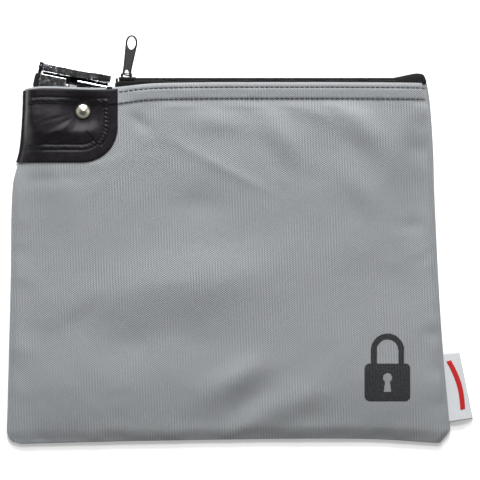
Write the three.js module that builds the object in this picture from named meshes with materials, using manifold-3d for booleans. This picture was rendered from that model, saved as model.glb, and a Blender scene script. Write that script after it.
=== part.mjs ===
// Zipped locking deposit bag, 11 x 9 inch, lying on its back.
// Millimetres. +X runs along the mouth away from the lock, +Y points out of the mouth,
// +Z points up out of the front panel. The underside of the back panel is at z = 0.
import * as THREE from 'three';
import { mergeVertices } from 'three/addons/utils/BufferGeometryUtils.js';
import Module from 'manifold-3d';

const wasm = await Module();
wasm.setup();

// ---------------------------------------------------------------- driving dimensions

const CLEARANCE = 0.3; // between pieces that touch
const FABRIC = 0.9; // one layer of coated canvas
const HEM_THICK = 1.8; // canvas folded double along the mouth
const HEM_DEEP = 11;
const VINYL = 0.9;
const SEAM_STACK = 2.2; // inner face of the front panel at the side and bottom seams
const MOUTH_INNER = 14.2; // inner face of the front hem along the mouth
const SEAM_TAPE = 0.7;

// Outline of the sewn bag, each edge as a few points that a smooth curve passes through.
const TOP_EDGE = [[-138, 97.3], [-126, 98.6], [-86, 97.8], [-52, 100.6], [38, 101.2], [119, 100.8]];
const BOTTOM_EDGE = [[-149, -129.6], [-52, -127.3], [76, -126.2], [134, -129.4]];
const LEFT_EDGE = [[98, -138], [82, -138.4], [58, -140.4], [38, -145.3], [-25, -146.6], [-121, -149]];
const RIGHT_EDGE = [[101, 118.8], [89, 120.6], [61, 122.6], [26, 123.7], [-51, 127.6], [-121, 133.7]];
const CORNER = 8; // the bottom corners are turned to a small round

// Lock, in its own axes: u along the lid, v out of the mouth, w up.
const LOCK_PLACE = [-128.4, 108.5];
const LOCK_TILT = THREE.MathUtils.degToRad(-11.5);
const LID = { length: 46, height: 5.7, low: 3.2, high: 13.8, wall: 0.9 };
const CASE = { left: 1.9, right: 18.4, bottom: -13, top: -1.6, low: 4.9, high: 13.4 };
const HINGE = { u: 0.9, v: 2.6, radius: 0.8 };
const EAR = { radius: 1.2, inner: 2, outer: 3.3 };
const PLUG = { v: -6.6, w: 9.15, radius: 3.3, stub: 0.8 };
const PLATE = { low: 3.4, high: 4.6 };
const DECK = { left: 25.5, right: 46, low: -2.4, high: -1.2 };
const EYE_PIN = { u: 37, radius: 1.3 };
const LEG = { left: 25.5, right: 41, low: 6.8, high: 8 };
const LOCK_MIDDLE = (LID.low + LID.high) / 2;

// Rivet that pinches both panels, both patches and the leg of the lock together.
const RIVET = { x: -100.4, y: 82.3, cap: 5, shank: 1.6, hole: 1.95, seat: 6.5 };
const RIVET_FRONT = LEG.high + CLEARANCE; // inner face of the front panel there
const RIVET_BACK = LEG.low - 2 * CLEARANCE - FABRIC - VINYL - 0.4; // underside of the back patch

const PATCH = { right: -78.2, bottom: 50, round: 23, belowEdge: 1.6 };

// Zipper: cross-section places in y and z, and ends in x.
const ZIP_MIDDLE = 8.4;
const CHAIN = { low: 100.7, high: 103.4, inner: 0.6, outer: 2.6, left: -77.7, right: 96 };
const TAPE = { left: -80.6, right: 99, bottom: 89, thick: 0.5, spread: 5.3, level: 101.6 };
const SLIDER = { left: -77.8, right: -66.7, inner: 99.2, outer: 104.2, half: 4.5, plate: 0.6 };
const BRIDGE = { x: -72.7, window: 2.2, leg: 1.4, half: 0.9, top: 106.9, roof: 0.5 };

// Pull tab, drawn flat: p across, q from the bar that hangs in the bridge to the tip.
const PULL = { thick: 0.9, bar: 0.4, length: 25.8, base: 3.6, wide: 5.2, eyeAt: 20.7, eyeWide: 4.3, eyeLong: 4.1 };
const PULL_RING = { half: 2.6, straight: 1.2, arch: 2.2 };
const PULL_PIVOT = new THREE.Vector3(BRIDGE.x, 105.6, ZIP_MIDDLE);
const PULL_LEAN = THREE.MathUtils.degToRad(9.2); // towards +X
const PULL_RISE = THREE.MathUtils.degToRad(7.2); // off the table
const PULL_TWIST = THREE.MathUtils.degToRad(-46.1); // about its own length, in its loose eye

// ---------------------------------------------------------------- solids

function manifoldOf(geometry) {
  const bare = geometry.clone();
  bare.deleteAttribute('normal');
  bare.deleteAttribute('uv');
  const merged = mergeVertices(bare, 1e-5);
  const vertProperties = Float32Array.from(merged.attributes.position.array);
  const triVerts = Uint32Array.from(merged.index.array);
  return new wasm.Manifold(new wasm.Mesh({ numProp: 3, vertProperties, triVerts }));
}

function geometryOf(manifold) {
  const mesh = manifold.getMesh();
  const geometry = new THREE.BufferGeometry();
  geometry.setAttribute('position', new THREE.BufferAttribute(mesh.vertProperties, 3));
  geometry.setIndex(new THREE.BufferAttribute(mesh.triVerts, 1));
  const flat = geometry.toNonIndexed();
  flat.computeVertexNormals();
  return flat;
}

function box([x0, x1], [y0, y1], [z0, z1]) {
  const geometry = new THREE.BoxGeometry(x1 - x0, y1 - y0, z1 - z0);
  return manifoldOf(geometry.translate((x0 + x1) / 2, (y0 + y1) / 2, (z0 + z1) / 2));
}

// A cylinder between two levels along one axis; centre is its place on the other two.
function rod(axis, centre, radius, [from, to], sides = 24) {
  const geometry = new THREE.CylinderGeometry(radius, radius, to - from, sides);
  const middle = (from + to) / 2;
  if (axis === 'x') {
    geometry.rotateZ(-Math.PI / 2);
    geometry.translate(middle, centre[0], centre[1]);
  } else if (axis === 'y') {
    geometry.translate(centre[0], middle, centre[1]);
  } else {
    geometry.rotateX(Math.PI / 2);
    geometry.translate(centre[0], centre[1], middle);
  }
  return manifoldOf(geometry);
}

// A shape drawn in x and y, pulled up along z.
function slab(shape, [z0, z1], curveSegments = 8) {
  const depth = z1 - z0;
  const geometry = new THREE.ExtrudeGeometry(shape, { depth, bevelEnabled: false, curveSegments });
  return manifoldOf(geometry.translate(0, 0, z0));
}

// A shape drawn as (y, z) points, pulled along x.
function section(points, [x0, x1]) {
  const shape = new THREE.Shape(points.map(([y, z]) => new THREE.Vector2(y, z)));
  const depth = x1 - x0;
  const geometry = new THREE.ExtrudeGeometry(shape, { depth, bevelEnabled: false });
  const turn = new THREE.Matrix4().makeBasis(
    new THREE.Vector3(0, 1, 0),
    new THREE.Vector3(0, 0, 1),
    new THREE.Vector3(1, 0, 0),
  );
  return manifoldOf(geometry.applyMatrix4(turn).translate(x0, 0, 0));
}

function join(...solids) {
  return solids.reduce((whole, next) => whole.add(next));
}

function cut(solid, ...tools) {
  return tools.reduce((left, tool) => left.subtract(tool), solid);
}

// A cloth-like shell: a grid over the unit square, placed in x and y, between two heights.
function shell(columns, rows, place, lower, upper) {
  const across = columns + 1;
  const layer = across * (rows + 1);
  const positions = [];
  for (const height of [lower, upper]) {
    for (let row = 0; row <= rows; row += 1) {
      for (let column = 0; column <= columns; column += 1) {
        const [x, y] = place(column / columns, row / rows);
        positions.push(x, y, height(x, y));
      }
    }
  }
  const index = [];
  const quad = (a, b, c, d) => index.push(a, b, c, a, c, d);
  for (let row = 0; row < rows; row += 1) {
    for (let column = 0; column < columns; column += 1) {
      const a = row * across + column;
      quad(a, a + across, a + across + 1, a + 1);
      quad(layer + a, layer + a + 1, layer + a + across + 1, layer + a + across);
    }
  }
  for (let column = 0; column < columns; column += 1) {
    const far = rows * across + column;
    quad(column, column + 1, layer + column + 1, layer + column);
    quad(far + 1, far, layer + far, layer + far + 1);
  }
  for (let row = 0; row < rows; row += 1) {
    const left = row * across;
    const right = left + columns;
    quad(left + across, left, layer + left, layer + left + across);
    quad(right, right + across, layer + right + across, layer + right);
  }
  const geometry = new THREE.BufferGeometry();
  geometry.setAttribute('position', new THREE.Float32BufferAttribute(positions, 3));
  geometry.setIndex(index);
  return manifoldOf(geometry);
}

// ---------------------------------------------------------------- the bag's surface

const { clamp, lerp, smoothstep } = THREE.MathUtils;

// A smooth curve through (at, value) points, read at any place along it.
function edgeCurve(points) {
  const sorted = [...points].sort((a, b) => a[0] - b[0]);
  return (at) => {
    const last = sorted.length - 2;
    let i = sorted.findIndex((point) => point[0] > at) - 1;
    if (i < 0) i = at <= sorted[0][0] ? 0 : last;
    const [x0, y0] = sorted[i];
    const [x1, y1] = sorted[i + 1];
    const before = sorted[Math.max(i - 1, 0)];
    const after = sorted[Math.min(i + 2, last + 1)];
    const t = clamp((at - x0) / (x1 - x0), 0, 1);
    const width = x1 - x0;
    const m0 = ((y1 - before[1]) / (x1 - before[0])) * width;
    const m1 = ((after[1] - y0) / (after[0] - x0)) * width;
    const t2 = t * t;
    const t3 = t2 * t;
    return (2 * t3 - 3 * t2 + 1) * y0 + (t3 - 2 * t2 + t) * m0 + (3 * t2 - 2 * t3) * y1 + (t3 - t2) * m1;
  };
}

const topEdge = edgeCurve(TOP_EDGE);
const bottomEdge = edgeCurve(BOTTOM_EDGE);
const leftStraight = edgeCurve(LEFT_EDGE);
const rightStraight = edgeCurve(RIGHT_EDGE);

// How far a bottom corner has turned in at a given height above the bottom seam.
function cornerInset(y) {
  const up = clamp((y + 129.5) / CORNER, 0, 1);
  return CORNER * (1 - Math.sqrt(1 - (1 - up) ** 2));
}

const leftEdge = (y) => leftStraight(y) + cornerInset(y);
const rightEdge = (y) => rightStraight(y) - cornerInset(y);

// The grid is close around the lock and the rivet, and wide over the rest of the bag.
const acrossBag = (s) => (s < 0.56 ? 0.25 * (s / 0.56) : lerp(0.25, 1, (s - 0.56) / 0.44));
const upBag = (t) => (t < 0.4 ? 0.75 * (t / 0.4) ** 1.25 : lerp(0.75, 1, (t - 0.4) / 0.6));

function onBag(s, t) {
  const up = upBag(t);
  const level = lerp(-129.5, 100, up);
  const x = lerp(leftEdge(level), rightEdge(level), acrossBag(s));
  return [x, lerp(bottomEdge(x), topEdge(x), up)];
}

const dome = (t) => 1 - (1 - clamp(t, 0, 1)) ** 2;

const fromRivet = (x, y) => Math.hypot(x - RIVET.x, y - RIVET.y);
const pinch = (x, y, reach) => 1 - smoothstep(fromRivet(x, y), RIVET.seat, reach);

// Inner face of the front panel: full height along the mouth, falling to the seams.
function frontInner(x, y) {
  const nearMouth = smoothstep(y, 10, 86);
  const fromLeft = (x - leftEdge(y)) / lerp(46, 5.6, nearMouth);
  const fromRight = (rightEdge(y) - x) / lerp(46, 20, nearMouth);
  const side = dome(Math.min(fromLeft, fromRight));
  const along = lerp(0.4, 1, smoothstep(y, -40, 86)) * dome((y - bottomEdge(x)) / 46);
  const closed = Math.max(SEAM_STACK, backInner(x, y) + CLEARANCE);
  const open = lerp(closed, MOUTH_INNER, side * along);
  return lerp(open, RIVET_FRONT, pinch(x, y, 16));
}

const hem = (x, y) => (topEdge(x) - y < HEM_DEEP ? HEM_THICK : FABRIC);
const frontOuter = (x, y) => frontInner(x, y) + hem(x, y);

function patchRight(y) {
  const down = clamp((PATCH.bottom + PATCH.round - y) / PATCH.round, 0, 1);
  return PATCH.right - PATCH.round * (1 - Math.sqrt(1 - down * down));
}

// Outline of a corner patch: square at the mouth and the side seam, round at its free corner.
function patchOutline() {
  const { right, bottom, round, belowEdge } = PATCH;
  const top = (x) => topEdge(x) - belowEdge;
  const side = (y) => leftEdge(y) + 0.6;
  const shape = new THREE.Shape();
  shape.moveTo(side(bottom), bottom);
  shape.lineTo(right - round, bottom);
  shape.absarc(right - round, bottom + round, round, -Math.PI / 2, 0, false);
  shape.lineTo(right, top(right));
  shape.splineThru([-95, -110, -125, -137].map((x) => new THREE.Vector2(x, top(x))));
  shape.splineThru([82, 66].map((y) => new THREE.Vector2(side(y), y)));
  shape.closePath();
  return shape;
}

// The back patch lies on the table, except where the rivet lifts it.
const backPatchUnder = (x, y) => RIVET_BACK * pinch(x, y, 15.5);

// The back panel lies flat, and climbs over the patch that is sewn outside it.
function backUnder(x, y) {
  const beyond = Math.max(x - patchRight(y), PATCH.bottom - y, 0);
  const over = 1 - smoothstep(beyond, 0.8, 8);
  return over * (backPatchUnder(x, y) + VINYL + CLEARANCE);
}

const backInner = (x, y) => backUnder(x, y) + hem(x, y);

const rivetHole = () => rod('z', [RIVET.x, RIVET.y], RIVET.hole, [-1, 20]);

// ---------------------------------------------------------------- fabric pieces

// Every layer uses one grid, so layers that lie on each other keep the same gap everywhere.
const layerOfBag = (lower, upper) => cut(shell(27, 25, onBag, lower, upper), rivetHole());
const patchOf = (lower, upper) => layerOfBag(lower, upper).intersect(slab(patchOutline(), [-1, 30], 10));

const makeFrontPanel = () => layerOfBag(frontInner, frontOuter);
const makeBackPanel = () => layerOfBag(backUnder, backInner);

function makeFrontPatch() {
  const under = (x, y) => frontOuter(x, y) + CLEARANCE;
  return patchOf(under, (x, y) => under(x, y) + VINYL);
}

const makeBackPatch = () => patchOf(backPatchUnder, (x, y) => backPatchUnder(x, y) + VINYL);

const seamLow = FABRIC + CLEARANCE;
const seamHigh = seamLow + SEAM_TAPE;
const SEAM_IN = 2.6; // the tape's outer edge, in from the edge of the bag
const SEAM_WIDE = 6;

// Binding tape over the raw edges inside a side seam; inward is +1 on the left, -1 on the right.
function makeSideTape(edge, inward, [from, to]) {
  const place = (s, t) => {
    const y = lerp(from, to, t);
    return [edge(y) + inward * (SEAM_IN + SEAM_WIDE * (inward > 0 ? s : 1 - s)), y];
  };
  return shell(1, 12, place, () => seamLow, () => seamHigh);
}

function makeBottomTape() {
  const place = (s, t) => {
    const x = lerp(-132, 118, s);
    return [x, bottomEdge(x) + SEAM_IN + SEAM_WIDE * t];
  };
  return shell(12, 1, place, () => seamLow, () => seamHigh);
}

// A folded label caught in the right side seam, fanning out from the bag.
function makeSideTag() {
  const shape = new THREE.Shape();
  shape.moveTo(127.4, -73);
  shape.lineTo(139.8, -72);
  shape.lineTo(148, -113);
  shape.lineTo(131.9, -116);
  shape.closePath();
  return slab(shape, [seamLow + 0.05, seamHigh + 0.05]);
}

// ---------------------------------------------------------------- zipper

// One half of the zipper is drawn in front; the other is its mirror about the middle.
const mirrored = (side, z) => ZIP_MIDDLE + side * z;

function makeTape(side) {
  const out = TAPE.spread;
  const inn = TAPE.spread - TAPE.thick;
  const edge = CHAIN.outer + CLEARANCE;
  const top = TAPE.level + TAPE.thick;
  const outline = [[TAPE.bottom, inn], [TAPE.level, inn], [TAPE.level, edge], [top, edge], [top, out],
    [TAPE.bottom, out]];
  const points = outline.map(([y, z]) => [y, mirrored(side, z)]);
  return section(side > 0 ? points : points.reverse(), [TAPE.left, TAPE.right]);
}

function makeChain(side) {
  const [a, b] = [mirrored(side, CHAIN.inner), mirrored(side, CHAIN.outer)];
  return box([CHAIN.left, CHAIN.right], [CHAIN.low, CHAIN.high], [Math.min(a, b), Math.max(a, b)]);
}

function makeTopStop(side) {
  const [a, b] = [mirrored(side, CHAIN.inner - 0.2), mirrored(side, CHAIN.outer)];
  const right = SLIDER.left - CLEARANCE;
  return box([right - 1.5, right], [CHAIN.low - 0.2, CHAIN.high + 0.2], [Math.min(a, b), Math.max(a, b)]);
}

function makeBottomStop() {
  const left = CHAIN.right + CLEARANCE;
  const half = CHAIN.outer;
  return box([left, left + 2.4], [CHAIN.low - 0.3, CHAIN.high + 0.3], [ZIP_MIDDLE - half, ZIP_MIDDLE + half]);
}

// The zipper's spare end, folded up on itself past the bottom stop.
function makeEndTab() {
  const shape = new THREE.Shape();
  shape.moveTo(99.4, 100.4);
  shape.lineTo(99.4, 103.7);
  shape.quadraticCurveTo(105, 105, 110, 106.5);
  shape.quadraticCurveTo(116, 107.6, 117.6, 104.5);
  shape.lineTo(118, 101.6);
  shape.lineTo(106.6, 101.6);
  shape.lineTo(105.6, 98.5);
  shape.lineTo(101, 98.5);
  shape.closePath();
  return slab(shape, [ZIP_MIDDLE - 2.4, ZIP_MIDDLE + 2.4], 6);
}

// Outline of a slider plate, drawn in x and z: wide at the nose, narrow at the tail.
function sliderOutline(half) {
  const { left, right } = SLIDER;
  const shape = new THREE.Shape();
  shape.moveTo(left, -half * 0.55);
  shape.quadraticCurveTo(left, -half, left + 2.6, -half);
  shape.lineTo(right - 2, -half * 0.86);
  shape.quadraticCurveTo(right, -half * 0.8, right, -half * 0.5);
  shape.lineTo(right, half * 0.5);
  shape.quadraticCurveTo(right, half * 0.8, right - 2, half * 0.86);
  shape.lineTo(left + 2.6, half);
  shape.quadraticCurveTo(left, half, left, half * 0.55);
  shape.closePath();
  return shape;
}

// A slider plate between two levels of y.
function sliderPlate(half, [y0, y1]) {
  const depth = y1 - y0;
  const geometry = new THREE.ExtrudeGeometry(sliderOutline(half), {
    depth, bevelEnabled: false, curveSegments: 5,
  });
  geometry.rotateX(Math.PI / 2);
  return manifoldOf(geometry.translate(0, y1, ZIP_MIDDLE));
}

function makeBridge() {
  const { x, window, leg, half, top, roof } = BRIDGE;
  const width = [ZIP_MIDDLE - half, ZIP_MIDDLE + half];
  const outer = new THREE.Shape();
  outer.moveTo(x - window - leg, SLIDER.outer - 0.3);
  outer.lineTo(x - window - leg, top - 1.2);
  outer.quadraticCurveTo(x - window - leg, top, x - window + 0.4, top);
  outer.lineTo(x + window - 0.4, top);
  outer.quadraticCurveTo(x + window + leg, top, x + window + leg, top - 1.2);
  outer.lineTo(x + window + leg, SLIDER.outer - 0.3);
  outer.closePath();
  const opening = box([x - window, x + window], [SLIDER.outer, top - roof], [0, 20]);
  return cut(slab(outer, width, 5), opening);
}

function makeSlider() {
  const { inner, outer, half, plate } = SLIDER;
  const slot = [TAPE.level - 0.35, TAPE.level + TAPE.thick + 0.35];
  const shellSolid = sliderPlate(half, [inner, outer]);
  const room = box([-90, -60], [inner + plate, outer - plate], [ZIP_MIDDLE - 3.3, ZIP_MIDDLE + 3.3]);
  const slots = box([-90, -60], slot, [0, 20]);
  const wedge = box([SLIDER.left + 0.3, SLIDER.left + 4], [inner + 0.2, outer - 0.2],
    [ZIP_MIDDLE - 0.3, ZIP_MIDDLE + 0.3]);
  return join(cut(shellSolid, room, slots), wedge, makeBridge());
}

// The tab is a tapering blade with a big oval eye, and a ring at its foot for the bridge.
function makePullBlade() {
  const { base, wide, length, eyeAt, eyeWide, eyeLong, thick } = PULL;
  const shape = new THREE.Shape();
  shape.moveTo(-base, 0);
  shape.lineTo(-base, 5);
  shape.lineTo(-wide, eyeAt);
  shape.absellipse(0, eyeAt, wide, length - eyeAt, Math.PI, 0, true);
  shape.lineTo(base, 5);
  shape.lineTo(base, 0);
  shape.closePath();
  const eye = new THREE.Path();
  eye.absellipse(0, eyeAt, eyeWide, eyeLong, 0, Math.PI * 2, false);
  shape.holes.push(eye);
  return slab(shape, [-thick / 2, thick / 2], 14);
}

function makePull() {
  const { base, bar, thick } = PULL;
  const { half, straight, arch } = PULL_RING;
  const opening = new THREE.Shape();
  opening.moveTo(-half, -1);
  opening.lineTo(-half, straight);
  opening.absellipse(0, straight, half, arch, Math.PI, 0, true);
  opening.lineTo(half, -1);
  opening.closePath();
  const ring = slab(opening, [-2, 2], 10);
  const crossbar = rod('x', [0, 0], bar, [-base, base], 16);
  const feet = [-1, 1].map((side) => {
    const outer = side * base;
    const span = [Math.min(outer, outer - side), Math.max(outer, outer - side)];
    return rod('x', [0, 0], thick / 2, span, 16);
  });
  const inset = new THREE.Shape();
  inset.moveTo(-2.7, 6);
  inset.lineTo(-3.4, 16);
  inset.lineTo(3.4, 16);
  inset.lineTo(2.7, 6);
  inset.closePath();
  const faces = [slab(inset, [thick / 2 - 0.2, 2]), slab(inset, [-2, -thick / 2 + 0.2])];
  return join(cut(makePullBlade(), ring, ...faces), crossbar, ...feet);
}

// ---------------------------------------------------------------- rivet

function turned(profile, sides = 28) {
  const points = profile.map(([r, z]) => new THREE.Vector2(r, z));
  const geometry = new THREE.LatheGeometry(points, sides);
  return manifoldOf(geometry.rotateX(Math.PI / 2));
}

const RIVET_SEAT_FRONT = RIVET_FRONT + FABRIC + VINYL + 2 * CLEARANCE;

function makeRivetCap() {
  const z = RIVET_SEAT_FRONT;
  const cap = turned([[0, z], [RIVET.cap - 0.4, z], [RIVET.cap, z + 0.5], [4.4, z + 1.5],
    [3.1, z + 2.3], [1.5, z + 2.75], [0, z + 2.9]]);
  return cut(cap, rod('z', [0, 0], RIVET.hole, [z - 1, z + 1.7]));
}

function makeRivetPost() {
  const z = RIVET_BACK - CLEARANCE;
  return turned([[0, z - 1.5], [2.6, z - 1.3], [4, z - 0.7], [4.3, z], [RIVET.shank, z],
    [RIVET.shank, RIVET_SEAT_FRONT + 1.4], [0, RIVET_SEAT_FRONT + 1.4]]);
}

// ---------------------------------------------------------------- lock, in u, v, w

function makeLockBase() {
  const back = box([CASE.left, DECK.right], [-4.5, DECK.high], [PLATE.low, PLATE.high]);
  const behindCase = box([CASE.left, CASE.right], [CASE.bottom, DECK.high], [PLATE.low, PLATE.high]);
  const deck = box([DECK.left, DECK.right], [DECK.low, DECK.high], [PLATE.low, LID.high - 0.2]);
  const bend = [[-1.2, PLATE.low], [-1.2, PLATE.high], [-4, PLATE.high], [-9, LEG.high], [-27, LEG.high],
    [-27, LEG.low], [-9.4, LEG.low], [-4.4, PLATE.low]];
  const leg = section(bend, [LEG.left, LEG.right]);
  const eyeSlot = box([EYE_PIN.u - 2.6, EYE_PIN.u + 2.6], [-6, 0], [LOCK_MIDDLE - 2.2, LOCK_MIDDLE + 2.2]);
  const [u, v] = toLock(RIVET.x, RIVET.y);
  const hole = rod('z', [u, v], RIVET.hole + 0.15, [0, 20]);
  return cut(join(back, behindCase, deck, leg), eyeSlot, hole);
}

const bore = (radius, span) => rod('x', [PLUG.v, PLUG.w], radius, span, 28);

function makeLockCase() {
  const block = box([CASE.left, CASE.right], [CASE.bottom, CASE.top], [CASE.low, CASE.high]);
  const room = bore(PLUG.radius + CLEARANCE, [CASE.left - 1, CASE.right - 1.2]);
  return cut(block, room, bore(PLUG.stub + 0.4, [CASE.right - 2, CASE.right + 1]));
}

// Black end of the case: it carries the keyway and the two ears of the lid's hinge.
function makeEndBlock() {
  const right = CASE.left - CLEARANCE;
  const shape = new THREE.Shape();
  shape.moveTo(-1.8, CASE.bottom + 3);
  shape.lineTo(-1.8, CASE.top - 3);
  shape.quadraticCurveTo(-1.8, CASE.top, 0.2, CASE.top);
  shape.lineTo(right, CASE.top);
  shape.lineTo(right, CASE.bottom);
  shape.lineTo(0.6, CASE.bottom);
  shape.closePath();
  const block = slab(shape, [CASE.low, CASE.high]);
  const ears = [[LOCK_MIDDLE - EAR.outer, LOCK_MIDDLE - EAR.inner],
    [LOCK_MIDDLE + EAR.inner, LOCK_MIDDLE + EAR.outer]].map((span) => join(
    rod('z', [HINGE.u, HINGE.v], EAR.radius, span),
    box([HINGE.u - EAR.radius, right], [CASE.top - 1, HINGE.v], span),
  ));
  const eyes = rod('z', [HINGE.u, HINGE.v], HINGE.radius + 0.25, [0, 20], 16);
  return cut(join(block, ...ears), eyes, bore(PLUG.radius + CLEARANCE, [-4, right + 1]));
}

function makeKeyPlug() {
  const end = CASE.right - 1.2 - CLEARANCE;
  const barrel = bore(PLUG.radius, [-1.7, end]);
  const stub = rod('x', [PLUG.v, PLUG.w], PLUG.stub, [end - 1, 20.4], 16);
  const keyway = box([-3, 12], [PLUG.v - 0.5, PLUG.v + 0.5], [PLUG.w - 2.2, PLUG.w + 2.2]);
  return cut(join(barrel, stub), keyway);
}

// Half-round lobe on the tail of the plug; it turns under the lid's catch to hold it.
function makeLockCam() {
  const span = [19, 20.2];
  const lobe = bore(2.7, span);
  const half = box([18, 21], [-20, 10], [PLUG.w, 20]);
  const hub = bore(1.7, span);
  return cut(join(lobe.intersect(half), hub), rod('x', [PLUG.v, PLUG.w], PLUG.stub + CLEARANCE, [18, 21], 16));
}

function makeLockLid() {
  const { length, height, low, high, wall } = LID;
  const shape = new THREE.Shape();
  shape.moveTo(2.4, 0);
  shape.lineTo(2.4, height);
  shape.lineTo(length - 0.6, height);
  shape.quadraticCurveTo(length, height, length, height - 0.6);
  shape.lineTo(length, 1.6);
  shape.lineTo(length - 4, 0.5);
  shape.lineTo(24, 0.5);
  shape.lineTo(23, 0);
  shape.closePath();
  const room = box([1, length - wall], [-1, height - wall], [low + wall, high - wall]);
  return cut(slab(shape, [low, high]), room, ...knuckleRivetPlaces().map(([u, v]) => (
    rod('z', [u, v], 0.95, [high - 2, high + 1], 16))));
}

// Rivets that hold the knuckle inside the lid.
const knuckleRivetPlaces = () => [[5.1, 3.3], [7.4, 2.4]];

function makeLidKnuckle() {
  const outside = box([-0.3, 2.1], [0.2, LID.height - 0.1], [LID.low + 0.1, LID.high - 0.1]);
  const inside = box([2, 8.6], [0.6, 4.5], [LID.low + 1.2, LID.high - 1.2]);
  const slot = box([-1, 3.7], [-1, 4.3], [LOCK_MIDDLE - EAR.outer - 0.3, LOCK_MIDDLE + EAR.outer + 0.3]);
  const eye = rod('z', [HINGE.u, HINGE.v], HINGE.radius + 0.25, [0, 20], 16);
  return cut(join(outside, inside), slot, eye, ...knuckleRivetPlaces().map(([u, v]) => (
    rod('z', [u, v], 0.95, [LID.high - 3, LID.high + 1], 16))));
}

function makeKnuckleRivet([u, v]) {
  const shank = rod('z', [u, v], 0.65, [LID.high - 2.6, LID.high + 0.3], 16);
  return join(shank, rod('z', [u, v], 1.1, [LID.high + 0.2, LID.high + 0.6], 16));
}

// Steel hook that hangs from the lid beside the case; its foot is what the cam holds.
function makeLidCatch() {
  const span = [18.9, 20.7];
  const bar = box(span, [-10.2, LID.height - LID.wall - CLEARANCE], [4.9, 6.1]);
  return join(bar, box(span, [-10.2, -8.7], [4.9, 7.1]));
}

const makeEyePin = () => rod('y', [EYE_PIN.u, LOCK_MIDDLE], EYE_PIN.radius,
  [-3.8, LID.height - LID.wall - CLEARANCE]);

function makeHingePin() {
  const pin = rod('z', [HINGE.u, HINGE.v], HINGE.radius, [LID.low - 0.1, LID.high + 0.3], 16);
  return join(pin, rod('z', [HINGE.u, HINGE.v], 1.2, [LID.high + 0.2, LID.high + 0.6], 16));
}

// Coil spring on the hinge pin, between the ears, that pops the lid up.
class Coil extends THREE.Curve {
  getPoint(t, target = new THREE.Vector3()) {
    const turns = 4;
    const angle = turns * 2 * Math.PI * t;
    const radius = 1.45;
    return target.set(
      HINGE.u + radius * Math.cos(angle),
      HINGE.v + radius * Math.sin(angle),
      LOCK_MIDDLE - 1.4 + 2.8 * t,
    );
  }
}

function makeLidSpring() {
  const wire = new THREE.Shape();
  wire.absarc(0, 0, 0.25, 0, Math.PI * 2, false);
  const settings = { extrudePath: new Coil(), steps: 56, curveSegments: 3, bevelEnabled: false };
  return manifoldOf(new THREE.ExtrudeGeometry(wire, settings));
}

// ---------------------------------------------------------------- placing

// A point of the bag in the lock's u and v.
function toLock(x, y) {
  const [dx, dy] = [x - LOCK_PLACE[0], y - LOCK_PLACE[1]];
  const [c, s] = [Math.cos(LOCK_TILT), Math.sin(LOCK_TILT)];
  return [dx * c + dy * s, -dx * s + dy * c];
}

const FINISH = {
  canvas: { color: 0x9a9fa3, roughness: 0.85, metalness: 0 },
  vinyl: { color: 0x1c1a1d, roughness: 0.3, metalness: 0 },
  binding: { color: 0x26262a, roughness: 0.85, metalness: 0 },
  label: { color: 0xe8e6e4, roughness: 0.6, metalness: 0 },
  zipper: { color: 0x131316, roughness: 0.6, metalness: 0 },
  stop: { color: 0x3a3a3e, roughness: 0.35, metalness: 1 },
  slider: { color: 0x2a2a2d, roughness: 0.35, metalness: 0.9 },
  chrome: { color: 0xcfd0d2, roughness: 0.1, metalness: 1 },
  nickel: { color: 0xc9c5b6, roughness: 0.2, metalness: 1 },
  black: { color: 0x0d0d0f, roughness: 0.3, metalness: 0 },
  steel: { color: 0x55565a, roughness: 0.35, metalness: 1 },
  brass: { color: 0xb08d4a, roughness: 0.3, metalness: 1 },
};

const bag = new THREE.Group();
const lock = new THREE.Group();
lock.position.set(LOCK_PLACE[0], LOCK_PLACE[1], 0);
lock.rotation.z = LOCK_TILT;
bag.add(lock);

function add(parent, name, finish, solid) {
  const mesh = new THREE.Mesh(geometryOf(solid), new THREE.MeshStandardMaterial(FINISH[finish]));
  mesh.name = name;
  parent.add(mesh);
  return mesh;
}

function addFabric() {
  add(bag, 'front_panel', 'canvas', makeFrontPanel());
  add(bag, 'back_panel', 'canvas', makeBackPanel());
  add(bag, 'front_corner_patch', 'vinyl', makeFrontPatch());
  add(bag, 'back_corner_patch', 'vinyl', makeBackPatch());
  add(bag, 'left_seam_tape', 'binding', makeSideTape(leftEdge, 1, [-118, 40]));
  add(bag, 'right_seam_tape', 'binding', makeSideTape(rightEdge, -1, [-118, 84]));
  add(bag, 'bottom_seam_tape', 'binding', makeBottomTape());
  add(bag, 'side_tag', 'label', makeSideTag());
}

function addZipper() {
  for (const [word, side] of [['front', 1], ['back', -1]]) {
    add(bag, `${word}_zipper_tape`, 'zipper', makeTape(side));
    add(bag, `${word}_zipper_chain`, 'zipper', makeChain(side));
    add(bag, `${word}_top_stop`, 'stop', makeTopStop(side));
  }
  add(bag, 'bottom_stop', 'stop', makeBottomStop());
  add(bag, 'zipper_end_tab', 'zipper', makeEndTab());
  add(bag, 'slider_body', 'slider', makeSlider());
}

// The pull leans towards +X, rises a little and is turned about its own length.
function addPull() {
  const flat = new THREE.Vector3(Math.cos(PULL_LEAN), -Math.sin(PULL_LEAN), 0);
  const along = new THREE.Vector3(Math.sin(PULL_LEAN), Math.cos(PULL_LEAN), Math.tan(PULL_RISE));
  along.normalize();
  const across = flat.clone().applyAxisAngle(along, PULL_TWIST);
  const facing = across.clone().cross(along);
  const turn = new THREE.Matrix4().makeBasis(across, along, facing);
  const mesh = add(bag, 'pull_tab', 'slider', makePull());
  mesh.quaternion.setFromRotationMatrix(turn);
  mesh.position.copy(PULL_PIVOT);
}

function addRivet() {
  for (const [name, solid] of [['rivet_cap', makeRivetCap()], ['rivet_post', makeRivetPost()]]) {
    add(bag, name, 'nickel', solid).position.set(RIVET.x, RIVET.y, 0);
  }
}

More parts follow.
